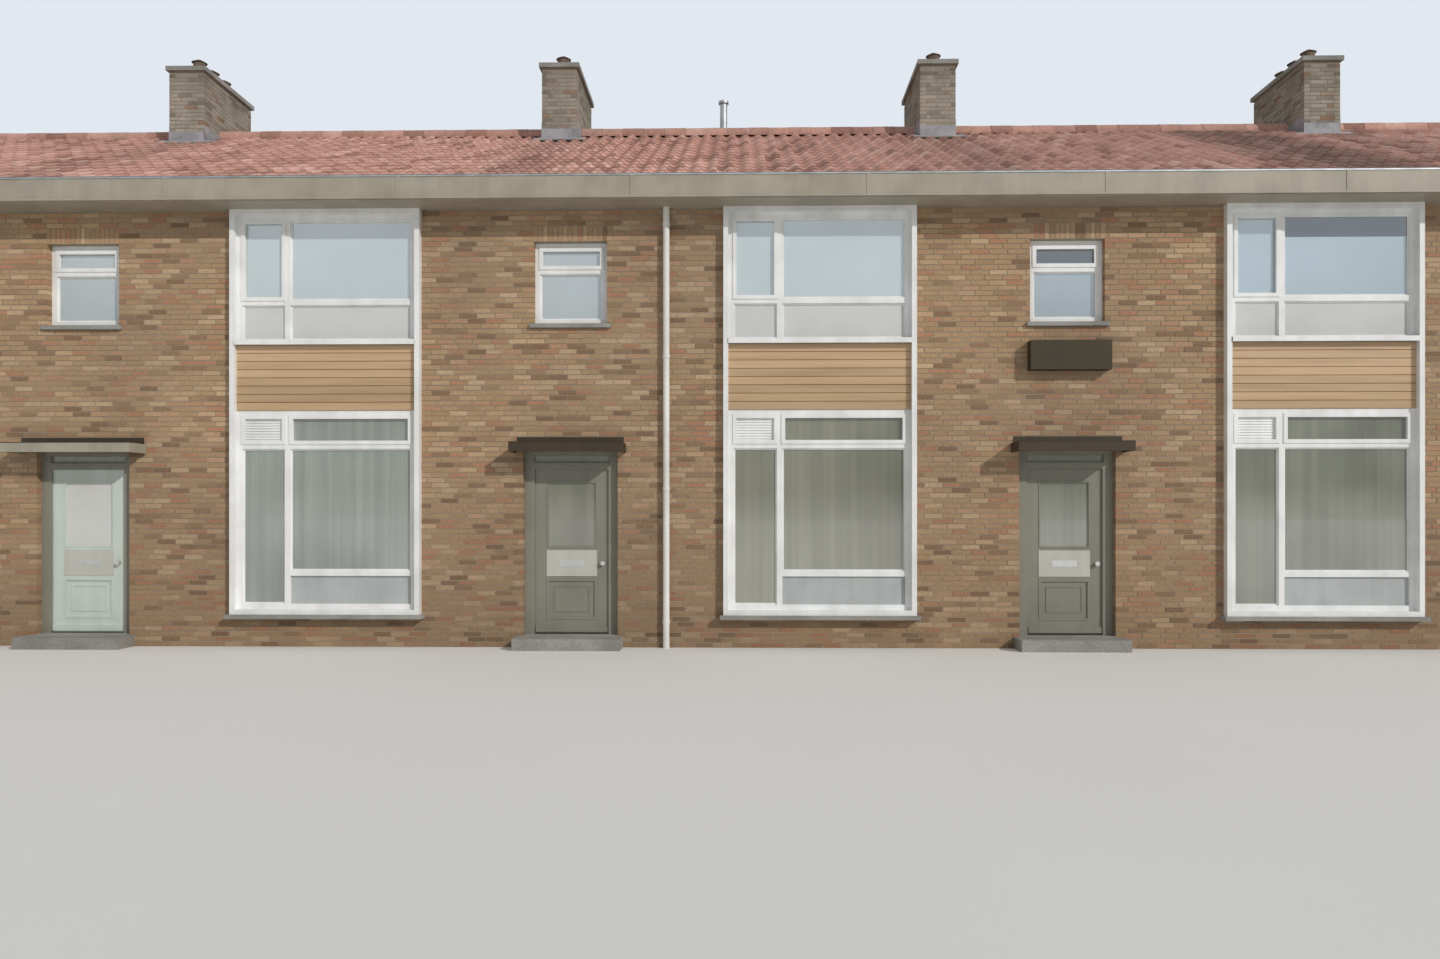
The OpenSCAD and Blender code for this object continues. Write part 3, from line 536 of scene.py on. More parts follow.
class Shape:
    """Points, faces and a tone and stain for each face, gathered into one mesh."""

    def __init__(self):
        self.points, self.faces, self.tones, self.stains = [], [], [], []
        self.count = 0

    def add(self, points, faces, tone=0.5, stain=0.0):
        """Adds points with their faces, which count from the first of these points."""
        points = np.asarray(points, float).reshape(-1, 3)
        self.points.append(points)
        self.faces.extend([corner + self.count for corner in face] for face in faces)
        self.tones.extend([tone] * len(faces))
        self.stains.extend([stain] * len(faces))
        self.count += len(points)

    def block(self, face, low, high, tone=0.5):
        """Adds a box on a face of the building, from its low to its high local corner."""
        low, high = np.array(low, float), np.array(high, float)
        self.add(face.at(low + CORNERS * (high - low)), SIDES, tone)

    def bar(self, ends, tone=0.5, stain=0.0):
        """Adds a solid between two outlines of equally many points."""
        size = len(ends[0])
        faces = [(i, (i + 1) % size, size + (i + 1) % size, size + i) for i in range(size)]
        self.add(np.concatenate(ends), faces + [range(size), range(size, 2 * size)], tone, stain)

    def hoop(self, rings):
        """Adds a solid that runs through its rings and back to the first one."""
        size = len(rings[0])
        starts = [ring * size for ring in range(len(rings))]
        self.add(np.concatenate(rings), [(a + i, a + (i + 1) % size, b + (i + 1) % size, b + i)
                                         for a, b in zip(starts, starts[1:] + [0]) for i in range(size)])

    def rim(self, face, opening, width, low, high):
        """Adds four mitred strips inside an opening, from one height over the face to another."""
        rings = []
        for margin, out in ((0.0, low), (0.0, high), (width, high), (width, low)):
            left, right, bottom, top = inset(opening, margin)
            rings.append(face.at([(left, bottom, out), (right, bottom, out), (right, top, out),
                                  (left, top, out)]))
        self.hoop(rings)

    def piece(self, name, finish, body=ROW, smooth=False, stands_for=(), slot=None):
        """Makes the object, gives it its finish and lets it ride on a body."""
        mesh = bpy.data.meshes.new(name)
        mesh.from_pydata(np.concatenate(self.points).tolist(), [], self.faces)
        shell = bmesh.new()
        shell.from_mesh(mesh)
        bmesh.ops.recalc_face_normals(shell, faces=shell.faces)
        shell.to_mesh(mesh)
        shell.free()
        for kind, values in (("tone", self.tones), ("stain", self.stains)):
            mesh.attributes.new(kind, "FLOAT", "FACE").data.foreach_set("value", values)
        mesh.materials.append(made(finish))
        if smooth:
            mesh.shade_smooth()
            mesh.set_sharp_from_angle(angle=SHARP)
        item = bpy.data.objects.new(name, mesh)
        bpy.context.scene.collection.objects.link(item)
        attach(item, body)
        if stands_for:
            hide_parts(*stands_for)


def dress(node, finish):
    """Gives a CAD node a finish in place of its own."""
    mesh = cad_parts[node].data
    mesh.materials.clear()
    mesh.materials.append(made(finish))


# Brickwork

SEEDS = {"front": 11, "rear": 23, "gable": 31, "gable_top": 33, "chimney": 41, "soldiers": 50,
         "tiles": 61, "ridge": 71, "boards": 83}
COURSE_SWAY = (-0.001, 0.0012)  # how far bricks stand behind or before their plane
SOLDIER_SWAY = (-0.001, 0.001)
LEAST_SOLDIER = 0.85  # share of the soldiers' height that they keep under a bed joint


def course_height():
    """The height of a course with its bed joint."""
    b = chosen("bricks")
    return b.brick_height + b.joint


def course_line(height):
    """The first bed joint at or over a height."""
    return math.ceil(height / course_height()) * course_height()


def cut(spans, low, high):
    """Spans of a course without the stretch from low to high.

    A span is (left, right, whether it turns inward at its left, whether it does at its right)."""
    left_over = []
    for left, right, turn_left, turn_right in spans:
        if high <= left or low >= right:
            left_over.append((left, right, turn_left, turn_right))
            continue
        if low > left:
            left_over.append((left, low, turn_left, True))
        if high < right:
            left_over.append((high, right, True, turn_right))
    return left_over


def lay_courses(shape, face, reach, openings, bottom, top, seed, corners=0):
    """Half-bond brickwork on a face of the building.

    reach gives a course's ends from its height, and openings are (left, right, bottom, top) boxes.
    corners is 0 where the courses just end, 1 where the even ones stop short of a corner and the
    odd ones run round it, and 2 the other way round."""
    b = chosen("bricks")
    dice = random.Random(seed)
    course, bay = course_height(), b.brick_length + b.joint
    for row in range(int((top - bottom) / course)):
        low = bottom + row * course + b.joint / 2
        high = low + b.brick_height
        left, right = reach(high)
        if corners and row % 2 == corners - 1:
            left, right = left + b.return_depth + b.joint, right - b.return_depth - b.joint
        spans = [(left, right, bool(corners), bool(corners))]
        for start, end, sill, head in openings:
            if sill < low + b.brick_height / 2 < head:
                spans = cut(spans, start, end)
        shift = bay / 2 * (row % 2) + bay / 4 * (row % 3 == 2)
        for start, end, turn_left, turn_right in spans:
            first = math.ceil((start + b.closer - shift) / bay)
            last = math.floor((end - b.closer - shift) / bay)
            edges = [start] + [shift + k * bay for k in range(first, last + 1)] + [end]
            for i, (near, far) in enumerate(zip(edges, edges[1:])):
                turned = (i == 0 and turn_left) or (far == end and turn_right)
                near_end = near - (b.proud if turn_left else 0) if i == 0 else near + b.joint / 2
                far_end = far + (b.proud if turn_right else 0) if far == end else far - b.joint / 2
                if far_end - near_end < b.joint:
                    continue
                shape.block(face, (near_end, low, -b.return_depth if turned else 0),
                            (far_end, high, b.proud + dice.uniform(*COURSE_SWAY)), dice.random())


def soldiers(shape, face, left, right, low, seed):
    """Upright bricks over an opening, up to the next bed joint. Returns the box that they fill."""
    b = chosen("bricks")
    dice = random.Random(seed)
    high = course_line(low + b.soldier_height * LEAST_SOLDIER)
    count = round((right - left + b.joint) / course_height())
    step = (right - left + b.joint) / count
    for i in range(count):
        start = left + i * step
        shape.block(face, (start, low + b.joint / 3, -b.return_depth),
                    (start + step - b.joint, high - b.joint / 2, b.proud + dice.uniform(*SOLDIER_SWAY)),
                    dice.random())
    return left, right, low, high


def gaps(face, boxes, from_ground=False):
    """The openings that solids fill in a face, or those openings lengthened down to the ground."""
    found = [face.opening(box) for box in boxes]
    return [(left, right, 0, top) for left, right, _, top in found] if from_ground else found


def lay_wall(name, face, plain, arched, seed):
    """The bricks of a long wall, round its openings and with soldiers over the arched ones."""
    shape, openings = Shape(), list(plain)
    for k, (left, right, low, high) in enumerate(arched):
        openings.append((left, right, low, high))
        openings.append(soldiers(shape, face, left, right, high, seed + SEEDS["soldiers"] + k))
    lay_courses(shape, face, lambda height: face.ends(*ROW_X), openings, 0, GUTTER_Z, seed, 1)
    shape.piece(name, "brick", slot="brick")


def gable_reach(height):
    """A gable's ends at a height, under the roof."""
    half = min(-FRONT, (UNDER_RIDGE - height) / FALL)
    return -half, half


class TERRACE_OT_wall_bricks(bpy.types.Operator):
    """Lays the bricks of the front and rear walls round their doors and windows."""
    bl_idname = "terrace.wall_bricks"
    bl_label = "Wall bricks"

    def execute(self, context):
        front, rear, boards = front_face(), rear_face(), solids("strip_side_boards")
        strips = [(np.minimum(a[0], b[0]), np.maximum(a[1], b[1]))
                  for a, b in zip(boards[::2], boards[1::2])]
        lay_wall("front_bricks", front, gaps(front, solids("door_frames"), True) + gaps(front, strips),
                 gaps(front, solids("landing_frames")), SEEDS["front"])
        lay_wall("rear_bricks", rear, [], gaps(rear, solids("rear_window_frames"))
                 + gaps(rear, solids("rear_door_frames"), True), SEEDS["rear"])
        return {"FINISHED"}


class TERRACE_OT_gable_bricks(bpy.types.Operator):
    """Lays the bricks of both end gables, up to the roof."""
    bl_idname = "terrace.gable_bricks"
    bl_label = "Gable bricks"

    def execute(self, context):
        shoulder = course_line(UNDER_RIDGE + FRONT * FALL)
        for right, name in enumerate(("gable_bricks_left", "gable_bricks_right")):
            shape, face = Shape(), side_face(ROW_X[right], right)
            lay_courses(shape, face, gable_reach, [], 0, shoulder, SEEDS["gable"] + right, 2)
            lay_courses(shape, face, gable_reach, [], shoulder, UNDER_RIDGE, SEEDS["gable_top"] + right)
            shape.piece(name, "brick", slot="brick")
        return {"FINISHED"}


class TERRACE_OT_chimney_bricks(bpy.types.Operator):
    """Lays the bricks of the chimney stacks."""
    bl_idname = "terrace.chimney_bricks"
    bl_label = "Chimney bricks"

    def execute(self, context):
        shape, seed = Shape(), SEEDS["chimney"]
        for lo, hi in solids("chimney_stacks"):
            for face, axis, turn in ((front_face(lo[Y]), X, 1), (rear_face(hi[Y]), X, 1),
                                     (side_face(hi[X], True), Y, 2), (side_face(lo[X], False), Y, 2)):
                hidden = self.under_roof(lo[Z]) if axis == Y else []
                ends = face.ends(lo[axis], hi[axis])
                lay_courses(shape, face, lambda height: ends, hidden, lo[Z], hi[Z], seed, turn)
                seed += 1
        shape.piece("chimney_bricks", "chimney_brick", slot="chimney_brick")
        return {"FINISHED"}

    def under_roof(self, bottom):
        """The part of each course that lies under the roof, as openings in a stack's side."""
        lows = [bottom + row * course_height() for row in range(int((RIDGE_Z - bottom) / course_height()))]
        halves = [(RIDGE_Z - ROOF_THICK / 2 - low) / FALL for low in lows]
        return [(-half, half, low, low + course_height()) for half, low in zip(halves, lows) if half > 0]


# Roof

TILE_POINTS = 10  # points across a tile's wave
SIDE_LAP = 0.04  # share of a tile's width that lies over its neighbour
SIDE_LIFT = 1.1  # rise over that neighbour, in tile thicknesses
WAVE_START = 0.33  # share of the wave before a tile's left edge
BED = 0.008  # from the deck to the tiles
RIDGE_GAP = 0.02  # between the top row of tiles and the ridge
LEAST_STRIP = 0.02  # narrowest strip of deck that is laid
TILE_SWAY = 0.003  # how far tiles lie up or down from their row
STAIN, STACK_STAIN = 0.85, 0.35  # strength of the wide stain and of those by the chimneys
STACK_REACH = 0.5  # metres over which a chimney's stain fades
STAIN_SPREAD = (0.6, 1.0)  # shares of its stain that a tile may show
RIDGE_STAIN = 0.3  # the most stain that a ridge tile shows
ARC_POINTS = 15  # points round a ridge tile
STEP_COURSES = 3  # brick courses to a step of the stepped lead
SLEEVE_SIDES = 24  # points round the vent pipe's lead
SLEEVE = (2.1, 1.25, 0.85, 0.7)  # its rings, in radii of the pipe


def stack_holes(face, front):
    """The chimneys' places on a slope, as (left, right, bottom, top) on its face."""
    holes = []
    for lo, hi in solids("chimney_stacks"):
        far = -lo[Y] if front else hi[Y]
        holes.append((*face.ends(lo[X], hi[X]), SLOPE_LENGTH - far * (SLOPE_LENGTH / EAVES_Y),
                      SLOPE_LENGTH + 1))
    return sorted(holes)


def pantile_ends(r, left, tail, reach, width):
    """The outlines of one pantile's head and tail: its upper side, then its underside backwards."""
    along = np.linspace(0, width * (1 + SIDE_LAP), TILE_POINTS)
    roll = r.wave * (0.5 - 0.5 * np.cos(2 * math.pi * (along / width - WAVE_START)))
    roll = roll + SIDE_LIFT * r.thickness * along / width
    ends = []
    for up, lift in ((reach, 0.0), (0.0, r.tilt)):
        under = np.column_stack([left + along, np.full(TILE_POINTS, tail + up),
                                 BED - r.depth + lift + roll])
        ends.append(np.concatenate([under + (0, 0, r.thickness), under[::-1]]))
    return ends


class TERRACE_OT_pantiles(bpy.types.Operator):
    """Covers both slopes with pantiles on a boarded deck."""
    bl_idname = "terrace.pantiles"
    bl_label = "Pantiles"

    def execute(self, context):
        for name, front in (("roof_front", True), ("roof_rear", False)):
            face = slope_face(front)
            holes = stack_holes(face, front)
            self.deck(name, face, holes)
            self.tiles(name, face, holes, front)
        return {"FINISHED"}

    def deck(self, name, face, holes):
        """A boarded slab in the place of the CAD roof, under the tiles."""
        top = -chosen("roof").depth
        shape = Shape()
        first, last = face.ends(*ROOF_X)
        edges = [first] + [place for hole in holes for place in hole[:2]] + [last]
        for near, far in zip(edges[::2], edges[1::2]):
            if far - near > LEAST_STRIP:
                shape.block(face, (near, 0, -ROOF_THICK), (far, SLOPE_LENGTH, top))
        for left, right, low, _ in holes:
            shape.block(face, (left, 0, -ROOF_THICK), (right, low, top))
        shape.piece(name + "_deck", "deck", stands_for=(name,))

    def tiles(self, name, face, holes, front):
        """Rows of pantiles from the eaves to the ridge."""
        r = chosen("roof")
        dice = random.Random(SEEDS["tiles"] + front)
        first, last = face.ends(*ROOF_X)
        columns = round((last - first) / r.tile_width)
        width = (last - first) / (columns + SIDE_LAP)
        rows = math.ceil((SLOPE_LENGTH - RIDGE_GAP) / r.gauge)
        gauge = (SLOPE_LENGTH - RIDGE_GAP) / rows
        shape = Shape()
        for row in range(rows):
            tail = row * gauge
            reach = gauge + (r.lap if row < rows - 1 else 0.0)
            for column in range(columns):
                left = first + column * width
                middle = left + width / 2
                if any(a < middle < b and low < tail + gauge / 2 < high for a, b, low, high in holes):
                    continue
                ends = pantile_ends(r, left, tail + dice.uniform(-TILE_SWAY, TILE_SWAY), reach, width)
                away = abs(middle * face.across[X] - r.stain_x) / r.stain_width
                near_stack = min(abs(middle - (a + b) / 2) for a, b, _, _ in holes)
                stain = max(max(0.0, 1 - away ** 2) * STAIN if front else 0.0,
                            STACK_STAIN * math.exp(-(near_stack / STACK_REACH) ** 2))
                shape.bar([face.at(end) for end in ends], dice.random(),
                          stain * dice.uniform(*STAIN_SPREAD))
        shape.piece(name + "_tiles", "tile", smooth=True, slot="roof_tile")


class TERRACE_OT_ridge(bpy.types.Operator):
    """Lays the half-round ridge tiles between the chimneys."""
    bl_idname = "terrace.ridge"
    bl_label = "Ridge tiles"

    spring: angle("Spring", "How far a ridge tile runs past a half circle at each side", 0.25)
    gap: length("Gap", "Gap between two ridge tiles", 0.004)
    sink: length("Sink", "How much lower every second ridge tile lies", 0.003)

    def execute(self, context):
        r = chosen("roof")
        dice = random.Random(SEEDS["ridge"])
        shape = Shape()
        lo, hi = node_box("ridge_tiles")
        radius = (hi[Y] - lo[Y]) / 2
        angles = np.linspace(-self.spring, math.pi + self.spring, ARC_POINTS)
        for start, end in ((s[0][X], s[1][X]) for s in solids("ridge_tiles")):
            count = round((end - start) / r.ridge_tile)
            step = (end - start) / count
            for k in range(count):
                outer = radius - (self.sink if k % 2 else 0.0)
                ends = []
                for x in (start + k * step + self.gap, start + k * step + step):
                    over, under = (np.column_stack([np.full(ARC_POINTS, x), -reach * np.cos(angles),
                                                    hi[Z] - radius + reach * np.sin(angles)])
                                   for reach in (outer, outer - r.thickness))
                    ends.append(np.concatenate([over, under[::-1]]))
                shape.bar(ends, dice.random(), dice.uniform(0, RIDGE_STAIN))
        shape.piece("ridge_tiles_laid", "tile", stands_for=("ridge_tiles",), slot="roof_tile")
        return {"FINISHED"}


class TERRACE_OT_flashings(bpy.types.Operator):
    """Dresses lead round the chimneys' feet, the vent pipe and over the canopies."""
    bl_idname = "terrace.flashings"
    bl_label = "Flashings"

    upstand: length("Upstand", "Height of the lead over the roof or canopy", 0.15)
    sheet: length("Sheet", "Thickness of the lead and the space behind it", 0.006)
    sunk: length("Sunk", "How far the lead reaches into what it covers", 0.01)
    apron_side: length("Apron side", "How far an apron runs past its stack", 0.12)
    apron_fall: length("Apron fall", "How far an apron runs down the slope", 0.2)
    collar: length("Collar", "Height of the lead round the vent pipe", 0.14)
    skirt: length("Skirt", "How far the upright lead runs down under the tiles", 0.05)
    over: length("Over", "How far the lead runs out over a canopy", 0.1)

    def execute(self, context):
        shape = Shape()
        for lo, hi in solids("chimney_stacks"):
            self.foot(shape, lo, hi)
        self.sleeve(shape, *node_box("vent_pipe"))
        shape.piece("roof_lead", "lead")
        shape = Shape()
        for lo, hi in solids("canopies"):
            left, right, top = lo[X] + self.sunk, hi[X] - self.sunk, hi[Z]
            shape.block(front_face(), (left, top - self.sunk, -BITE),
                        (right, top + self.upstand / 2, 2 * self.sheet))
            shape.block(front_face(), (left, top - 2 * self.sheet, 0), (right, top + 2 * BITE, self.over))
        shape.piece("canopy_lead", "canopy")
        return {"FINISHED"}

    def sleeve(self, shape, lo, hi):
        """A lead sheet round the vent pipe, in rings that rise and narrow to a collar."""
        middle, radius = (lo + hi) / 2, (hi[X] - lo[X]) / 2
        turns = np.linspace(0, 2 * math.pi, SLEEVE_SIDES, endpoint=False)
        rings = []
        for wide, lift in zip(SLEEVE, (self.sheet, 2 * self.sheet, self.collar, self.collar + HAIR)):
            x, y = middle[X] + radius * wide * np.cos(turns), middle[Y] + radius * wide * np.sin(turns)
            rings.append(np.column_stack([x, y, RIDGE_Z - np.abs(y) * FALL + lift]))
        shape.hoop(rings)

    def foot(self, shape, lo, hi):
        """Stepped lead up both sides of a stack, an apron in front and a gutter behind."""
        out = chosen("bricks").proud + self.sheet
        for y, front in ((lo[Y], True), (hi[Y], False)):
            foot = RIDGE_Z - abs(y) * FALL
            face = front_face(y) if front else rear_face(y)
            left, right = face.ends(lo[X] - out, hi[X] + out)
            shape.block(face, (left, foot - self.skirt, -self.sunk), (right, foot + self.upstand, out))
            up = SLOPE_LENGTH - abs(y) * SLOPE_LENGTH / EAVES_Y
            left = max(left - self.apron_side, ROW_X[0] - out)
            right = min(right + self.apron_side, ROW_X[1] + out)
            shape.block(slope_face(front), (left, up - self.apron_fall, -2 * self.sheet),
                        (right, up + 2 * self.sunk, self.sheet))
        count = round((hi[Y] - lo[Y]) / (STEP_COURSES * course_height() / FALL))
        width = (hi[Y] - lo[Y]) / count
        for face in (side_face(hi[X], True), side_face(lo[X], False)):
            for k in range(count):
                near, far = face.ends(lo[Y] + k * width, lo[Y] + (k + 1) * width)
                tops = [RIDGE_Z - abs(place) * FALL for place in (near, far)]
                shape.block(face, (near, min(tops) - self.skirt - self.sunk, -self.sunk),
                            (far - BITE, max(tops) + self.upstand / 2, out))


class TERRACE_OT_gutter_trim(bpy.types.Operator):
    """Adds the metal edge, the drip moulding and the joint covers of the boxed gutters."""
    bl_idname = "terrace.gutter_trim"
    bl_label = "Gutter trim"

    moulding: length("Moulding", "Size of the drip moulding", 0.022)
    drip: length("Drip", "Height of the moulding over the gutter's foot", 0.012)
    cover: length("Cover", "Width of the strips over the gutter board's joints", 0.05)
    cover_out: length("Cover thickness", "Thickness of those strips", 0.006)
    board: length("Board", "Longest gutter board", 3.0)
    edge: length("Edge", "How far the metal edge hangs down in front", 0.018)
    edge_in: length("Edge inside", "How far the metal edge runs in over the gutter", 0.034)
    metal: length("Metal", "Height of the metal edge over the gutter", 0.004)

    def execute(self, context):
        edge, trim = Shape(), Shape()
        for node, rear in (("front_gutter", False), ("rear_gutter", True)):
            face, left, right, low, high = on_face(node_box(node), rear)
            for back, foot in ((-self.edge_in, high), (0, high - self.edge)):
                edge.block(face, (left, foot, back), (right, high + self.metal, 2 * self.metal))
            drip = low + self.drip + self.moulding
            trim.block(face, (left, low + self.drip, 0), (right, drip, self.moulding))
            count = math.ceil((right - left) / self.board)
            for middle in (left + k * (right - left) / count for k in range(1, count)):
                trim.block(face, (middle - self.cover / 2, drip + BITE, 0),
                           (middle + self.cover / 2, high - self.edge, self.cover_out))
        edge.piece("gutter_edges", "zinc")
        trim.piece("gutter_mouldings", "cream_paint", slot="cream_paint")
        return {"FINISHED"}


# Joinery

TALL_LIGHT, WIDE_LIGHT = 0.5, 1.0  # metres over which a light counts as tall, or as wide
SLAT_COVER = 0.95  # share of the slats' spacing that a slat covers


def lights(node, upstairs, tall, wide=None):
    """The panes of a node on one storey, tall or low, and wide or narrow where that is asked."""
    return [(lo, hi) for lo, hi in solids(node)
            if (lo[Z] > PANEL_HIGH) == upstairs and (hi[Z] - lo[Z] > TALL_LIGHT) == tall
            and wide in (None, hi[X] - lo[X] > WIDE_LIGHT)]


class TERRACE_OT_glazing_beads(bpy.types.Operator):
    """Puts beads round every pane of the fixed windows."""
    bl_idname = "terrace.glazing_beads"
    bl_label = "Glazing beads"

    out: length("Thickness", "How far a bead stands out of the glass", 0.014)

    def execute(self, context):
        bead = chosen("joinery").bead
        doorways = solids("door_frames") + solids("rear_door_frames")
        panes = {"window": [], "doorway": []}
        for lo, hi in solids("strip_glass") + solids("small_glass") + solids("rear_glass"):
            inside = any(start[X] < lo[X] and hi[X] < end[X] and hi[Z] < end[Z] for start, end in doorways)
            panes["doorway" if inside else "window"].append((lo, hi))
        for kind, finish in (("window", "white_paint"), ("doorway", "door")):
            shape = Shape()
            for rear in (False, True):
                for box in panes[kind]:
                    face, *opening = on_face(box, rear)
                    shape.rim(face, opening, bead, 0.0, self.out)
            shape.piece(kind + "_beads", finish)
        return {"FINISHED"}


class TERRACE_OT_sashes(bpy.types.Operator):
    """Adds the rims of the opening lights."""
    bl_idname = "terrace.sashes"
    bl_label = "Opening lights"

    rim: length("Rim", "Width of a rim on each side of its light", 0.046)
    lap: length("Lap", "How far a rim laps over the frame", 0.012)
    out: length("Thickness", "How far a rim stands out of the frame", 0.012)
    depth: length("Depth", "How far a rim reaches into the frame", 0.03)

    def execute(self, context):
        shape = Shape()
        front, back = node_span("landing_frames", Y)
        for lo, hi in (lights("strip_glass", False, False) + lights("strip_glass", True, True, False)
                       + lights("small_glass", True, False)):
            face = front_face((lo[Y] + hi[Y]) / 2 - (back - front) / 2)
            opening = face.opening((lo, hi))
            shape.rim(face, inset(opening, -self.lap), self.lap, 0.0, self.out)
            shape.rim(face, opening, self.rim - self.lap, -self.depth, self.out)
        shape.piece("opening_lights", "white_paint", slot="white_paint")
        return {"FINISHED"}


class TERRACE_OT_vent_panels(bpy.types.Operator):
    """Shuts the narrow top lights of the lower windows with louvred boards."""
    bl_idname = "terrace.vent_panels"
    bl_label = "Vent panels"

    slats: IntProperty(name="Slats", description="Slats of a louvred board", default=9, min=3)
    board: length("Board", "Thickness of the board behind the slats", 0.005)
    slat_out: length("Slat depth", "How far the slats stand out of the board", 0.012)
    slat_edge: length("Slat edge", "Height of a slat's front edge", 0.004)

    def execute(self, context):
        shape, bead = Shape(), chosen("joinery").bead
        front = self.board + self.slat_out
        for box in lights("strip_glass", False, False, False):
            face, *opening = on_face(box)
            left, right, bottom, top = inset(opening, bead)
            shape.block(face, (left, bottom, 0.0), (right, top, self.board))
            pitch = (top - bottom) / self.slats
            for low in (bottom + k * pitch + BITE for k in range(self.slats)):
                ring = [(low, self.board), (low, front), (low + self.slat_edge, front),
                        (low - BITE + pitch * SLAT_COVER, self.board + HAIR)]
                shape.bar([face.at([(x, z, out) for z, out in ring]) for x in (left, right)])
        shape.piece("vent_panels", "white_paint", slot="white_paint")
        return {"FINISHED"}


class TERRACE_OT_opal_lights(bpy.types.Operator):
    """Sets opal panes in the bottom lights of the upper windows, and darkens two lights of one house."""
    bl_idname = "terrace.opal_lights"
    bl_label = "Opal and dark lights"

    blind: length("Blind", "Height of the dark blind at the head of a wide light", 0.25)
    thick: length("Thickness", "Thickness of the panes", 0.004)

    def execute(self, context):
        opal, dark = Shape(), Shape()
        start, end = node_span("window_box", X)
        for box in lights("strip_glass", True, False):
            self.pane(opal, box)
        beside = [box for box in lights("strip_glass", True, True, True) if box[0][X] > end]
        self.pane(dark, beside[0], self.blind)
        for box in lights("small_glass", True, False):
            if start < (box[0][X] + box[1][X]) / 2 < end:
                self.pane(dark, box)
        opal.piece("opal_panes", "opal_glass", slot="window_glass")
        dark.piece("dark_panes", "dark_glass", slot="window_glass")
        return {"FINISHED"}

    def pane(self, shape, box, height=None):
        """A thin pane inside a light's beads, or only its top part."""
        face, *opening = on_face(box)
        left, right, bottom, top = inset(opening, chosen("joinery").bead)
        low = opening[3] - height if height else bottom
        shape.block(face, (left, low, 0.0), (right, top, self.thick))


class TERRACE_OT_panel_boards(bpy.types.Operator):
    """Lays the stained boards over the panels between the storeys."""
    bl_idname = "terrace.panel_boards"
    bl_label = "Panel boards"

    board: length("Board", "Covering height of a board", 0.1)
    groove: length("Groove", "Width of the groove between two boards", 0.008)
    thick: length("Thickness", "Thickness of a board", 0.016)

    def execute(self, context):
        dice = random.Random(SEEDS["boards"])
        shape = Shape()
        for box in solids("strip_panels"):
            face, left, right, low, high = on_face(box)
            count = round((high - low) / self.board)
            pitch = (high - low) / count
            for k in range(count):
                shape.block(face, (left, low + k * pitch + self.groove / 2, 0),
                            (right, low + (k + 1) * pitch - self.groove / 2, self.thick), dice.random())
        shape.piece("panel_boards", "stained_board", slot="spandrel_panel")
        return {"FINISHED"}


class TERRACE_OT_sill_covers(bpy.types.Operator):
    """Boxes the sills over the stained panels in painted board."""
    bl_idname = "terrace.sill_covers"
    bl_label = "Sill covers"

    thick: length("Thickness", "Thickness of the boards", 0.005)
    depth: length("Depth", "How far the boards run back over the sill", 0.02)

    def execute(self, context):
        shape = Shape()
        for lo, hi in solids("window_sills"):
            if lo[Y] < FRONT and abs(lo[Z] - PANEL_HIGH) < self.thick:
                shape.block(front_face(lo[Y]), (lo[X], lo[Z] - self.thick, -self.depth),
                            (hi[X], hi[Z] + self.thick, self.thick))
        shape.piece("sill_covers", "white_paint", slot="white_paint")
        return {"FINISHED"}


# Plate, spindle and grip of a rear door's handle, as reaches from the spindle's axis to the left,
# the right, down and up, and from the leaf's face to their backs and fronts
HANDLE = ((0.02, 0.02, 0.13, 0.09, 0.0, 0.004), (0.009, 0.009, 0.009, 0.009, 0.004, 0.045),
          (0.12, 0.009, 0.009, 0.009, 0.035, 0.05))


class TERRACE_OT_rear_door_trim(bpy.types.Operator):
    """Adds a moulded panel, a weatherboard and a lever handle to each rear door."""
    bl_idname = "terrace.rear_door_trim"
    bl_label = "Rear door trim"

    edge: length("Edge", "Width of the plain leaf round the panel", 0.15)
    field: length("Field", "From the panel's moulding to its raised field", 0.07)
    out: length("Moulding depth", "How far the moulding stands out", 0.008)
    field_out: length("Field depth", "How far the raised field stands out", 0.006)
    weather_out: length("Weatherboard depth", "How far the weatherboard stands out", 0.025)
    handle_height: length("Handle height", "Height of the lever over the door's foot", 0.95)

    def execute(self, context):
        j, wood, metal = chosen("joinery"), Shape(), Shape()
        for lo, hi in solids("rear_doors"):
            light = min(s[0][Z] for s in solids("rear_glass") if lo[X] < s[0][X] and s[1][X] < hi[X])
            face, left, right, bottom, _ = on_face((lo, hi), True)
            panel = (left + self.edge, right - self.edge, bottom + self.edge, light - self.edge)
            wood.rim(face, panel, j.moulding, 0.0, self.out)
            start, end, low, high = inset(panel, self.field)
            wood.block(face, (start, low, 0), (end, high, self.field_out))
            wood.block(face, (left + j.margin, bottom + j.margin, 0),
                       (right - j.margin, bottom + j.margin + j.weather, self.weather_out))
            middle, high = right - self.edge / 2, bottom + self.handle_height
            for start, end, down, up, back, out in HANDLE:
                metal.block(face, (middle - start, high - down, back), (middle + end, high + up, out))
        wood.piece("rear_door_joinery", "door", slot="door_paint")
        metal.piece("rear_door_handles", "door_metal", slot="door_metal")
        return {"FINISHED"}


def pale_house():
    """The house with the widest canopy, which also has the pale door."""
    widths = [hi[X] - lo[X] for lo, hi in solids("canopies")]
    return widths.index(max(widths)) + 1


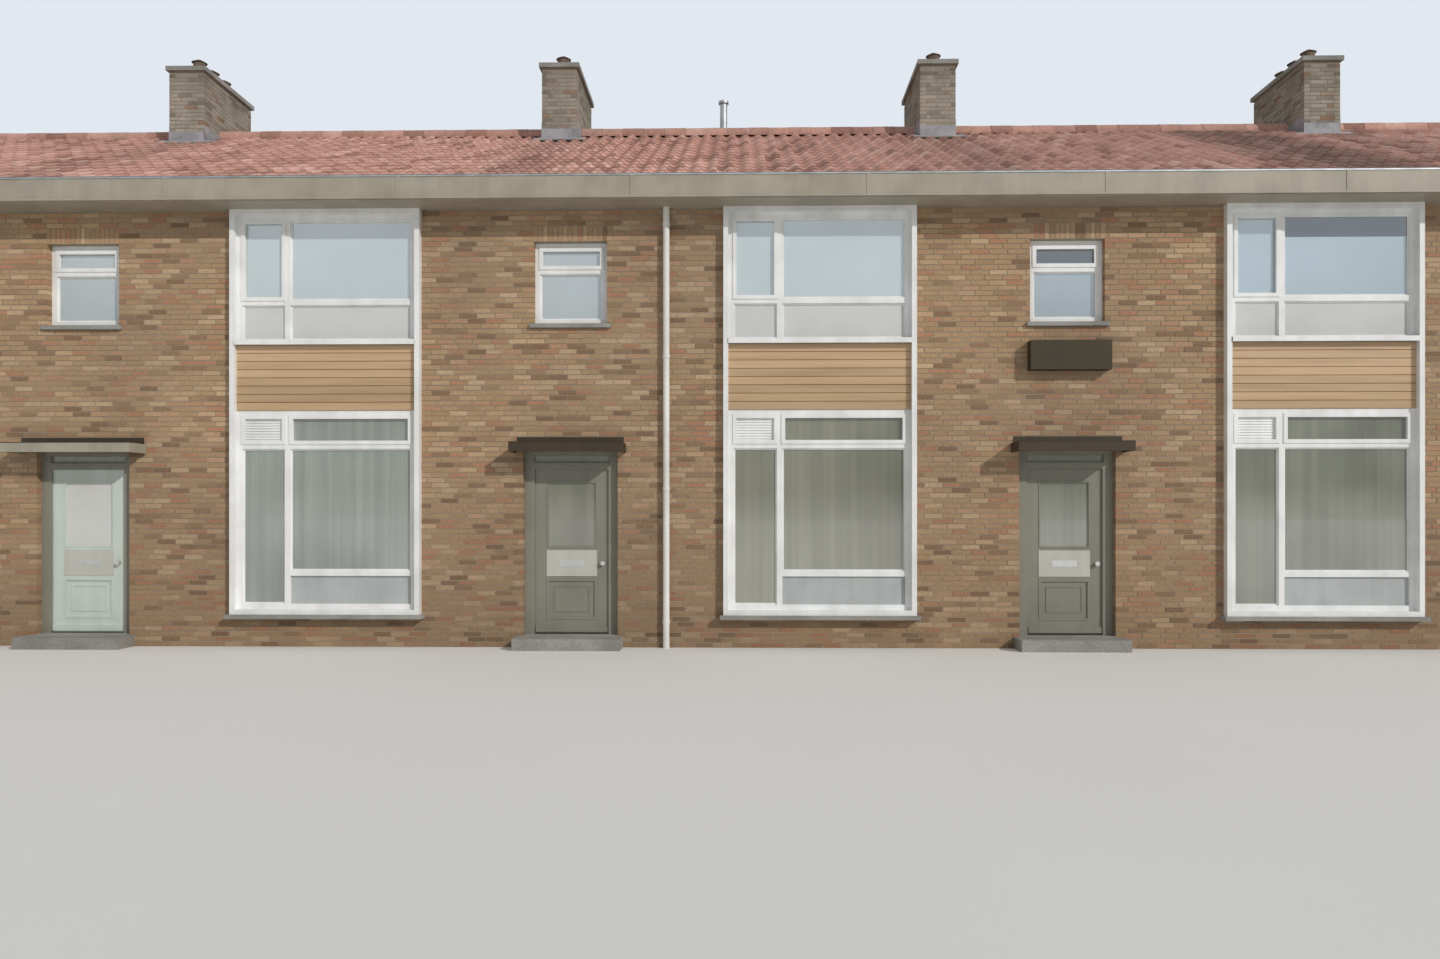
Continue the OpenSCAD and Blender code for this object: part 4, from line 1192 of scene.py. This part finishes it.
class TERRACE_OT_canopy_boards(bpy.types.Operator):
    """Boards the canopies' edges and caps them with metal."""
    bl_idname = "terrace.canopy_boards"
    bl_label = "Canopy boards"

    thick: length("Thickness", "Thickness of the edge boards", 0.018)
    drop: length("Drop", "How far the boards hang under the canopy", 0.02)
    fall: length("Fall", "From a canopy's highest point down to the top of its boards", 0.008)
    clear: length("Clear", "From the side boards to the wall", 0.006)
    cap: length("Cap", "Height and overhang of the metal cap", 0.006)
    cap_in: length("Cap inside", "How far the cap runs back over the canopy", 0.03)

    def execute(self, context):
        boxes, pale = solids("canopies"), pale_house()
        caps = Shape()
        for name, finish, chosen_boxes in (
                ("canopy_boards", "canopy", [box for k, box in enumerate(boxes, 1) if k != pale]),
                ("pale_canopy_boards", "pale_canopy", [boxes[pale - 1]])):
            shape = Shape()
            for lo, hi in chosen_boxes:
                front, low, top = front_face(lo[Y]), lo[Z] - self.drop, hi[Z] - self.fall
                left, right = lo[X] - self.thick, hi[X] + self.thick
                shape.block(front, (left, low, 0), (right, top, self.thick))
                for face in (side_face(lo[X], False), side_face(hi[X], True)):
                    near, far = face.ends(lo[Y], FRONT - self.clear)
                    shape.block(face, (near, low, 0), (far, top, self.thick))
                caps.block(front, (left - 2 * BITE, top, -self.cap_in),
                           (right + 2 * BITE, top + self.cap, self.thick + self.cap))
            shape.piece(name, finish)
        caps.piece("canopy_edges", "canopy")
        return {"FINISHED"}


class TERRACE_OT_front_doors(bpy.types.Operator):
    """Adds each front door's mouldings, middle rail, glazing beads and weatherboard."""
    bl_idname = "terrace.front_doors"
    bl_label = "Front doors"

    band_out: length("Middle rail", "How far the painted middle rail stands out", 0.006)
    weather_out: length("Weatherboard depth", "How far the weatherboard stands out", 0.03)
    panel_low: length("Panel foot", "Height of the lower panel's foot over the leaf's", 0.17)
    panel_high: length("Panel head", "Height of the lower panel's head over the leaf's foot", 0.67)
    sink: length("Sink", "How far the lower panel lies behind the leaf's face", 0.012)
    field: length("Field", "From the panel's edge to its inner moulding", 0.09)

    def execute(self, context):
        pale = pale_house()
        for house in range(1, HOUSES + 1):
            self.door(house, *(("pale_door", "opal_glass") if house == pale else ("door", "glass")))
        return {"FINISHED"}

    def door(self, house, finish, glass):
        """The wooden pieces of one door, and the finishes of its leaf and pane."""
        body = "door_%d" % house
        leaf_lo, leaf_hi = node_box("front_" + body)
        pane = node_box("door_glass_%d" % house)
        j, foot, shape = chosen("joinery"), leaf_lo[Z], Shape()
        for face, deep in ((front_face(leaf_lo[Y]), leaf_lo[Y] - pane[0][Y]),
                           (rear_face(leaf_hi[Y]), pane[1][Y] - leaf_hi[Y])):
            left, right, bottom, top = face.opening(pane)
            shape.rim(face, (left, right, bottom, top), j.bead, deep, self.band_out)
            sunk = (left, right, foot + self.panel_low, foot + self.panel_high)
            shape.rim(face, sunk, j.moulding, -self.sink, self.band_out)
            shape.rim(face, inset(sunk, self.field), self.sink, -self.sink, -2 * BITE)
        face = front_face(leaf_lo[Y])
        shape.block(face, (leaf_lo[X] + j.margin, foot + j.margin, 0),
                    (leaf_hi[X] - j.margin, foot + j.margin + j.weather, self.weather_out))
        shape.piece("door_joinery_%d" % house, finish, body, slot="door_paint")
        dress("front_" + body, finish)
        dress("door_glass_%d" % house, glass)
        band = Shape()
        left, right, bottom, top = face.opening(pane)
        band.block(face, (left, foot + self.panel_high + j.moulding, 0),
                   (right, bottom - j.moulding, self.band_out))
        band.piece("door_band_%d" % house, "door_band", body, slot="door_paint")


# What the CAD nodes that stay in view are dressed in
DRESSED = {
    "mortar": ("front_piers", "over_door_walls", "landing_jamb_walls", "strip_walls", "rear_piers",
               "rear_infill_walls", "gable_walls", "chimney_stacks"),
    "plaster": ("party_walls",),
    "concrete": ("ground_floors", "first_floors", "chimney_caps", "window_sills", "doorsteps",
                 "thresholds"),
    "cream_paint": ("front_gutter", "rear_gutter", "verge_boards"),
    "white_paint": ("strip_side_boards", "strip_end_boards", "lower_strip_frames",
                    "upper_strip_frames", "landing_frames", "rear_window_frames"),
    "kick_paint": ("kick_panels",), "glass": ("strip_glass", "rear_glass"),
    "landing_glass": ("small_glass",), "stained_board": ("strip_panels",), "window_box": ("window_box",),
    "canopy": ("canopies",), "pipe": ("downpipes",), "zinc": ("vent_pipe",), "clay": ("flue_terminals",),
    "door": ("door_frames", "rear_door_frames", "rear_doors"),
    "door_metal": ("door_hinges", *("door_furniture_%d" % house for house in range(1, HOUSES + 1))),
}


class TERRACE_OT_finishes(bpy.types.Operator):
    """Gives the CAD nodes that stay in view their finishes."""
    bl_idname = "terrace.finishes"
    bl_label = "Finishes"

    def execute(self, context):
        for finish, nodes in DRESSED.items():
            for node in nodes:
                dress(node, finish)
        return {"FINISHED"}


# Stage

FLOOR_SIDE = 400.0  # from the middle of the floor to its sides
SIGHT = 2000  # how far the camera sees
SENSOR = 36.0  # width of the camera's sensor in millimetres
SUNLIGHT, SKYLIGHT = (1.0, 0.975, 0.94), (0.92, 0.96, 1.0)

# What glossy surfaces mirror: colours by the height of the ray's direction
MIRRORED = ((0.0, (0.5, 0.5, 0.47)), (0.025, (0.24, 0.25, 0.21)), (0.11, (0.3, 0.32, 0.29)),
            (0.21, (0.86, 0.94, 1.02)))


class TERRACE_OT_stage(bpy.types.Operator):
    """Sets the floor, the sky's light, the sun and the camera."""
    bl_idname = "terrace.stage"
    bl_label = "Stage"

    def execute(self, context):
        s = chosen("stage")
        mesh = bpy.data.meshes.new("floor")
        corners = (CORNERS[:4] * 2 - 1) * (FLOOR_SIDE, FLOOR_SIDE, 0)
        mesh.from_pydata(corners.tolist(), [], [(0, 1, 2, 3)])
        f = Finish("floor", roughness=0.9)
        f.coat(f.ramp(f.noise(0.3, 2), (0.3, shade(s.floor, 0.98)), (0.7, s.floor)))
        mesh.materials.append(f.material)
        self.placed(context, "floor", mesh)
        self.sky(context.scene, s)
        sun = bpy.data.lights.new("sun", "SUN")
        sun.energy, sun.color, sun.angle = s.sun_strength, SUNLIGHT, s.sun_softness
        self.placed(context, "sun", sun, tilt=math.pi / 2 - s.sun_height, turn=s.sun_side)
        camera = bpy.data.cameras.new("camera")
        camera.sensor_width, camera.lens, camera.shift_y, camera.clip_end = SENSOR, s.lens, s.shift, SIGHT
        context.scene.camera = self.placed(context, "camera", camera, (s.aside, FRONT - s.distance, s.eye),
                                           math.pi / 2, s.look_left)
        context.scene.view_settings.view_transform = "Standard"
        return {"FINISHED"}

    def placed(self, context, name, data, location=(0, 0, 0), tilt=0.0, turn=0.0):
        """A new object in the scene, tilted about X and turned about Z."""
        item = bpy.data.objects.new(name, data)
        item.location = location
        item.rotation_euler = (tilt, 0, turn)
        context.scene.collection.objects.link(item)
        return item

    def sky(self, scene, s):
        """An even pale sky, whose reflection darkens towards the ground."""
        world = bpy.data.worlds.new("sky")
        world.use_nodes = True
        nodes, link = world.node_tree.nodes, world.node_tree.links.new
        light = nodes["Background"]
        seen, mirrored, ramp, split, way, rays, through = (nodes.new("ShaderNode" + kind) for kind in (
            "Background", "Background", "ValToRGB", "SeparateXYZ", "TexCoord", "LightPath", "Math"))
        light.inputs["Color"].default_value = (*SKYLIGHT, 1)
        light.inputs["Strength"].default_value = s.sky_strength
        seen.inputs["Color"].default_value = (*s.backdrop, 1)
        fill_ramp(ramp, MIRRORED)
        link(way.outputs["Generated"], split.inputs[0])
        link(split.outputs["Z"], ramp.inputs[0])
        link(ramp.outputs[0], mirrored.inputs["Color"])
        through.operation = "MAXIMUM"
        link(rays.outputs["Is Camera Ray"], through.inputs[0])
        link(rays.outputs["Is Transmission Ray"], through.inputs[1])
        shown = light
        for ray, other in ((rays.outputs["Is Glossy Ray"], mirrored), (through.outputs[0], seen)):
            mix = nodes.new("ShaderNodeMixShader")
            for source, socket in zip((ray, shown.outputs[0], other.outputs[0]), mix.inputs):
                link(source, socket)
            shown = mix
        link(shown.outputs[0], nodes["World Output"].inputs["Surface"])
        scene.world = world


# The add-on

OPERATORS = (TERRACE_OT_finishes, TERRACE_OT_wall_bricks, TERRACE_OT_gable_bricks,
             TERRACE_OT_chimney_bricks, TERRACE_OT_pantiles, TERRACE_OT_ridge, TERRACE_OT_flashings,
             TERRACE_OT_gutter_trim, TERRACE_OT_glazing_beads, TERRACE_OT_sashes,
             TERRACE_OT_vent_panels, TERRACE_OT_opal_lights, TERRACE_OT_panel_boards,
             TERRACE_OT_sill_covers, TERRACE_OT_canopy_boards, TERRACE_OT_front_doors,
             TERRACE_OT_rear_door_trim, TERRACE_OT_stage)


class TERRACE_PT_panel(bpy.types.Panel):
    """Lists the pieces of the row and their settings."""
    bl_idname = "TERRACE_PT_panel"
    bl_label = "Brick terrace"
    bl_space_type = "VIEW_3D"
    bl_region_type = "UI"
    bl_category = "Terrace"

    def draw(self, context):
        for group, kind in SETTINGS.items():
            box = self.layout.box()
            box.label(text=group.title())
            for name in kind.__annotations__:
                box.prop(getattr(context.scene, "terrace_" + group), name)
        for operator in OPERATORS:
            self.layout.operator(operator.bl_idname)


CLASSES = (*SETTINGS.values(), *OPERATORS, TERRACE_PT_panel)


def register():
    for kind in CLASSES:
        bpy.utils.register_class(kind)
    for group, kind in SETTINGS.items():
        setattr(bpy.types.Scene, "terrace_" + group, PointerProperty(type=kind))


def unregister():
    for group in SETTINGS:
        delattr(bpy.types.Scene, "terrace_" + group)
    for kind in reversed(CLASSES):
        bpy.utils.unregister_class(kind)


def main():
    register()
    for operator in OPERATORS:
        name = operator.bl_idname.split(".")[1]
        getattr(bpy.ops.terrace, name)()


if __name__ == "__main__":
    main()
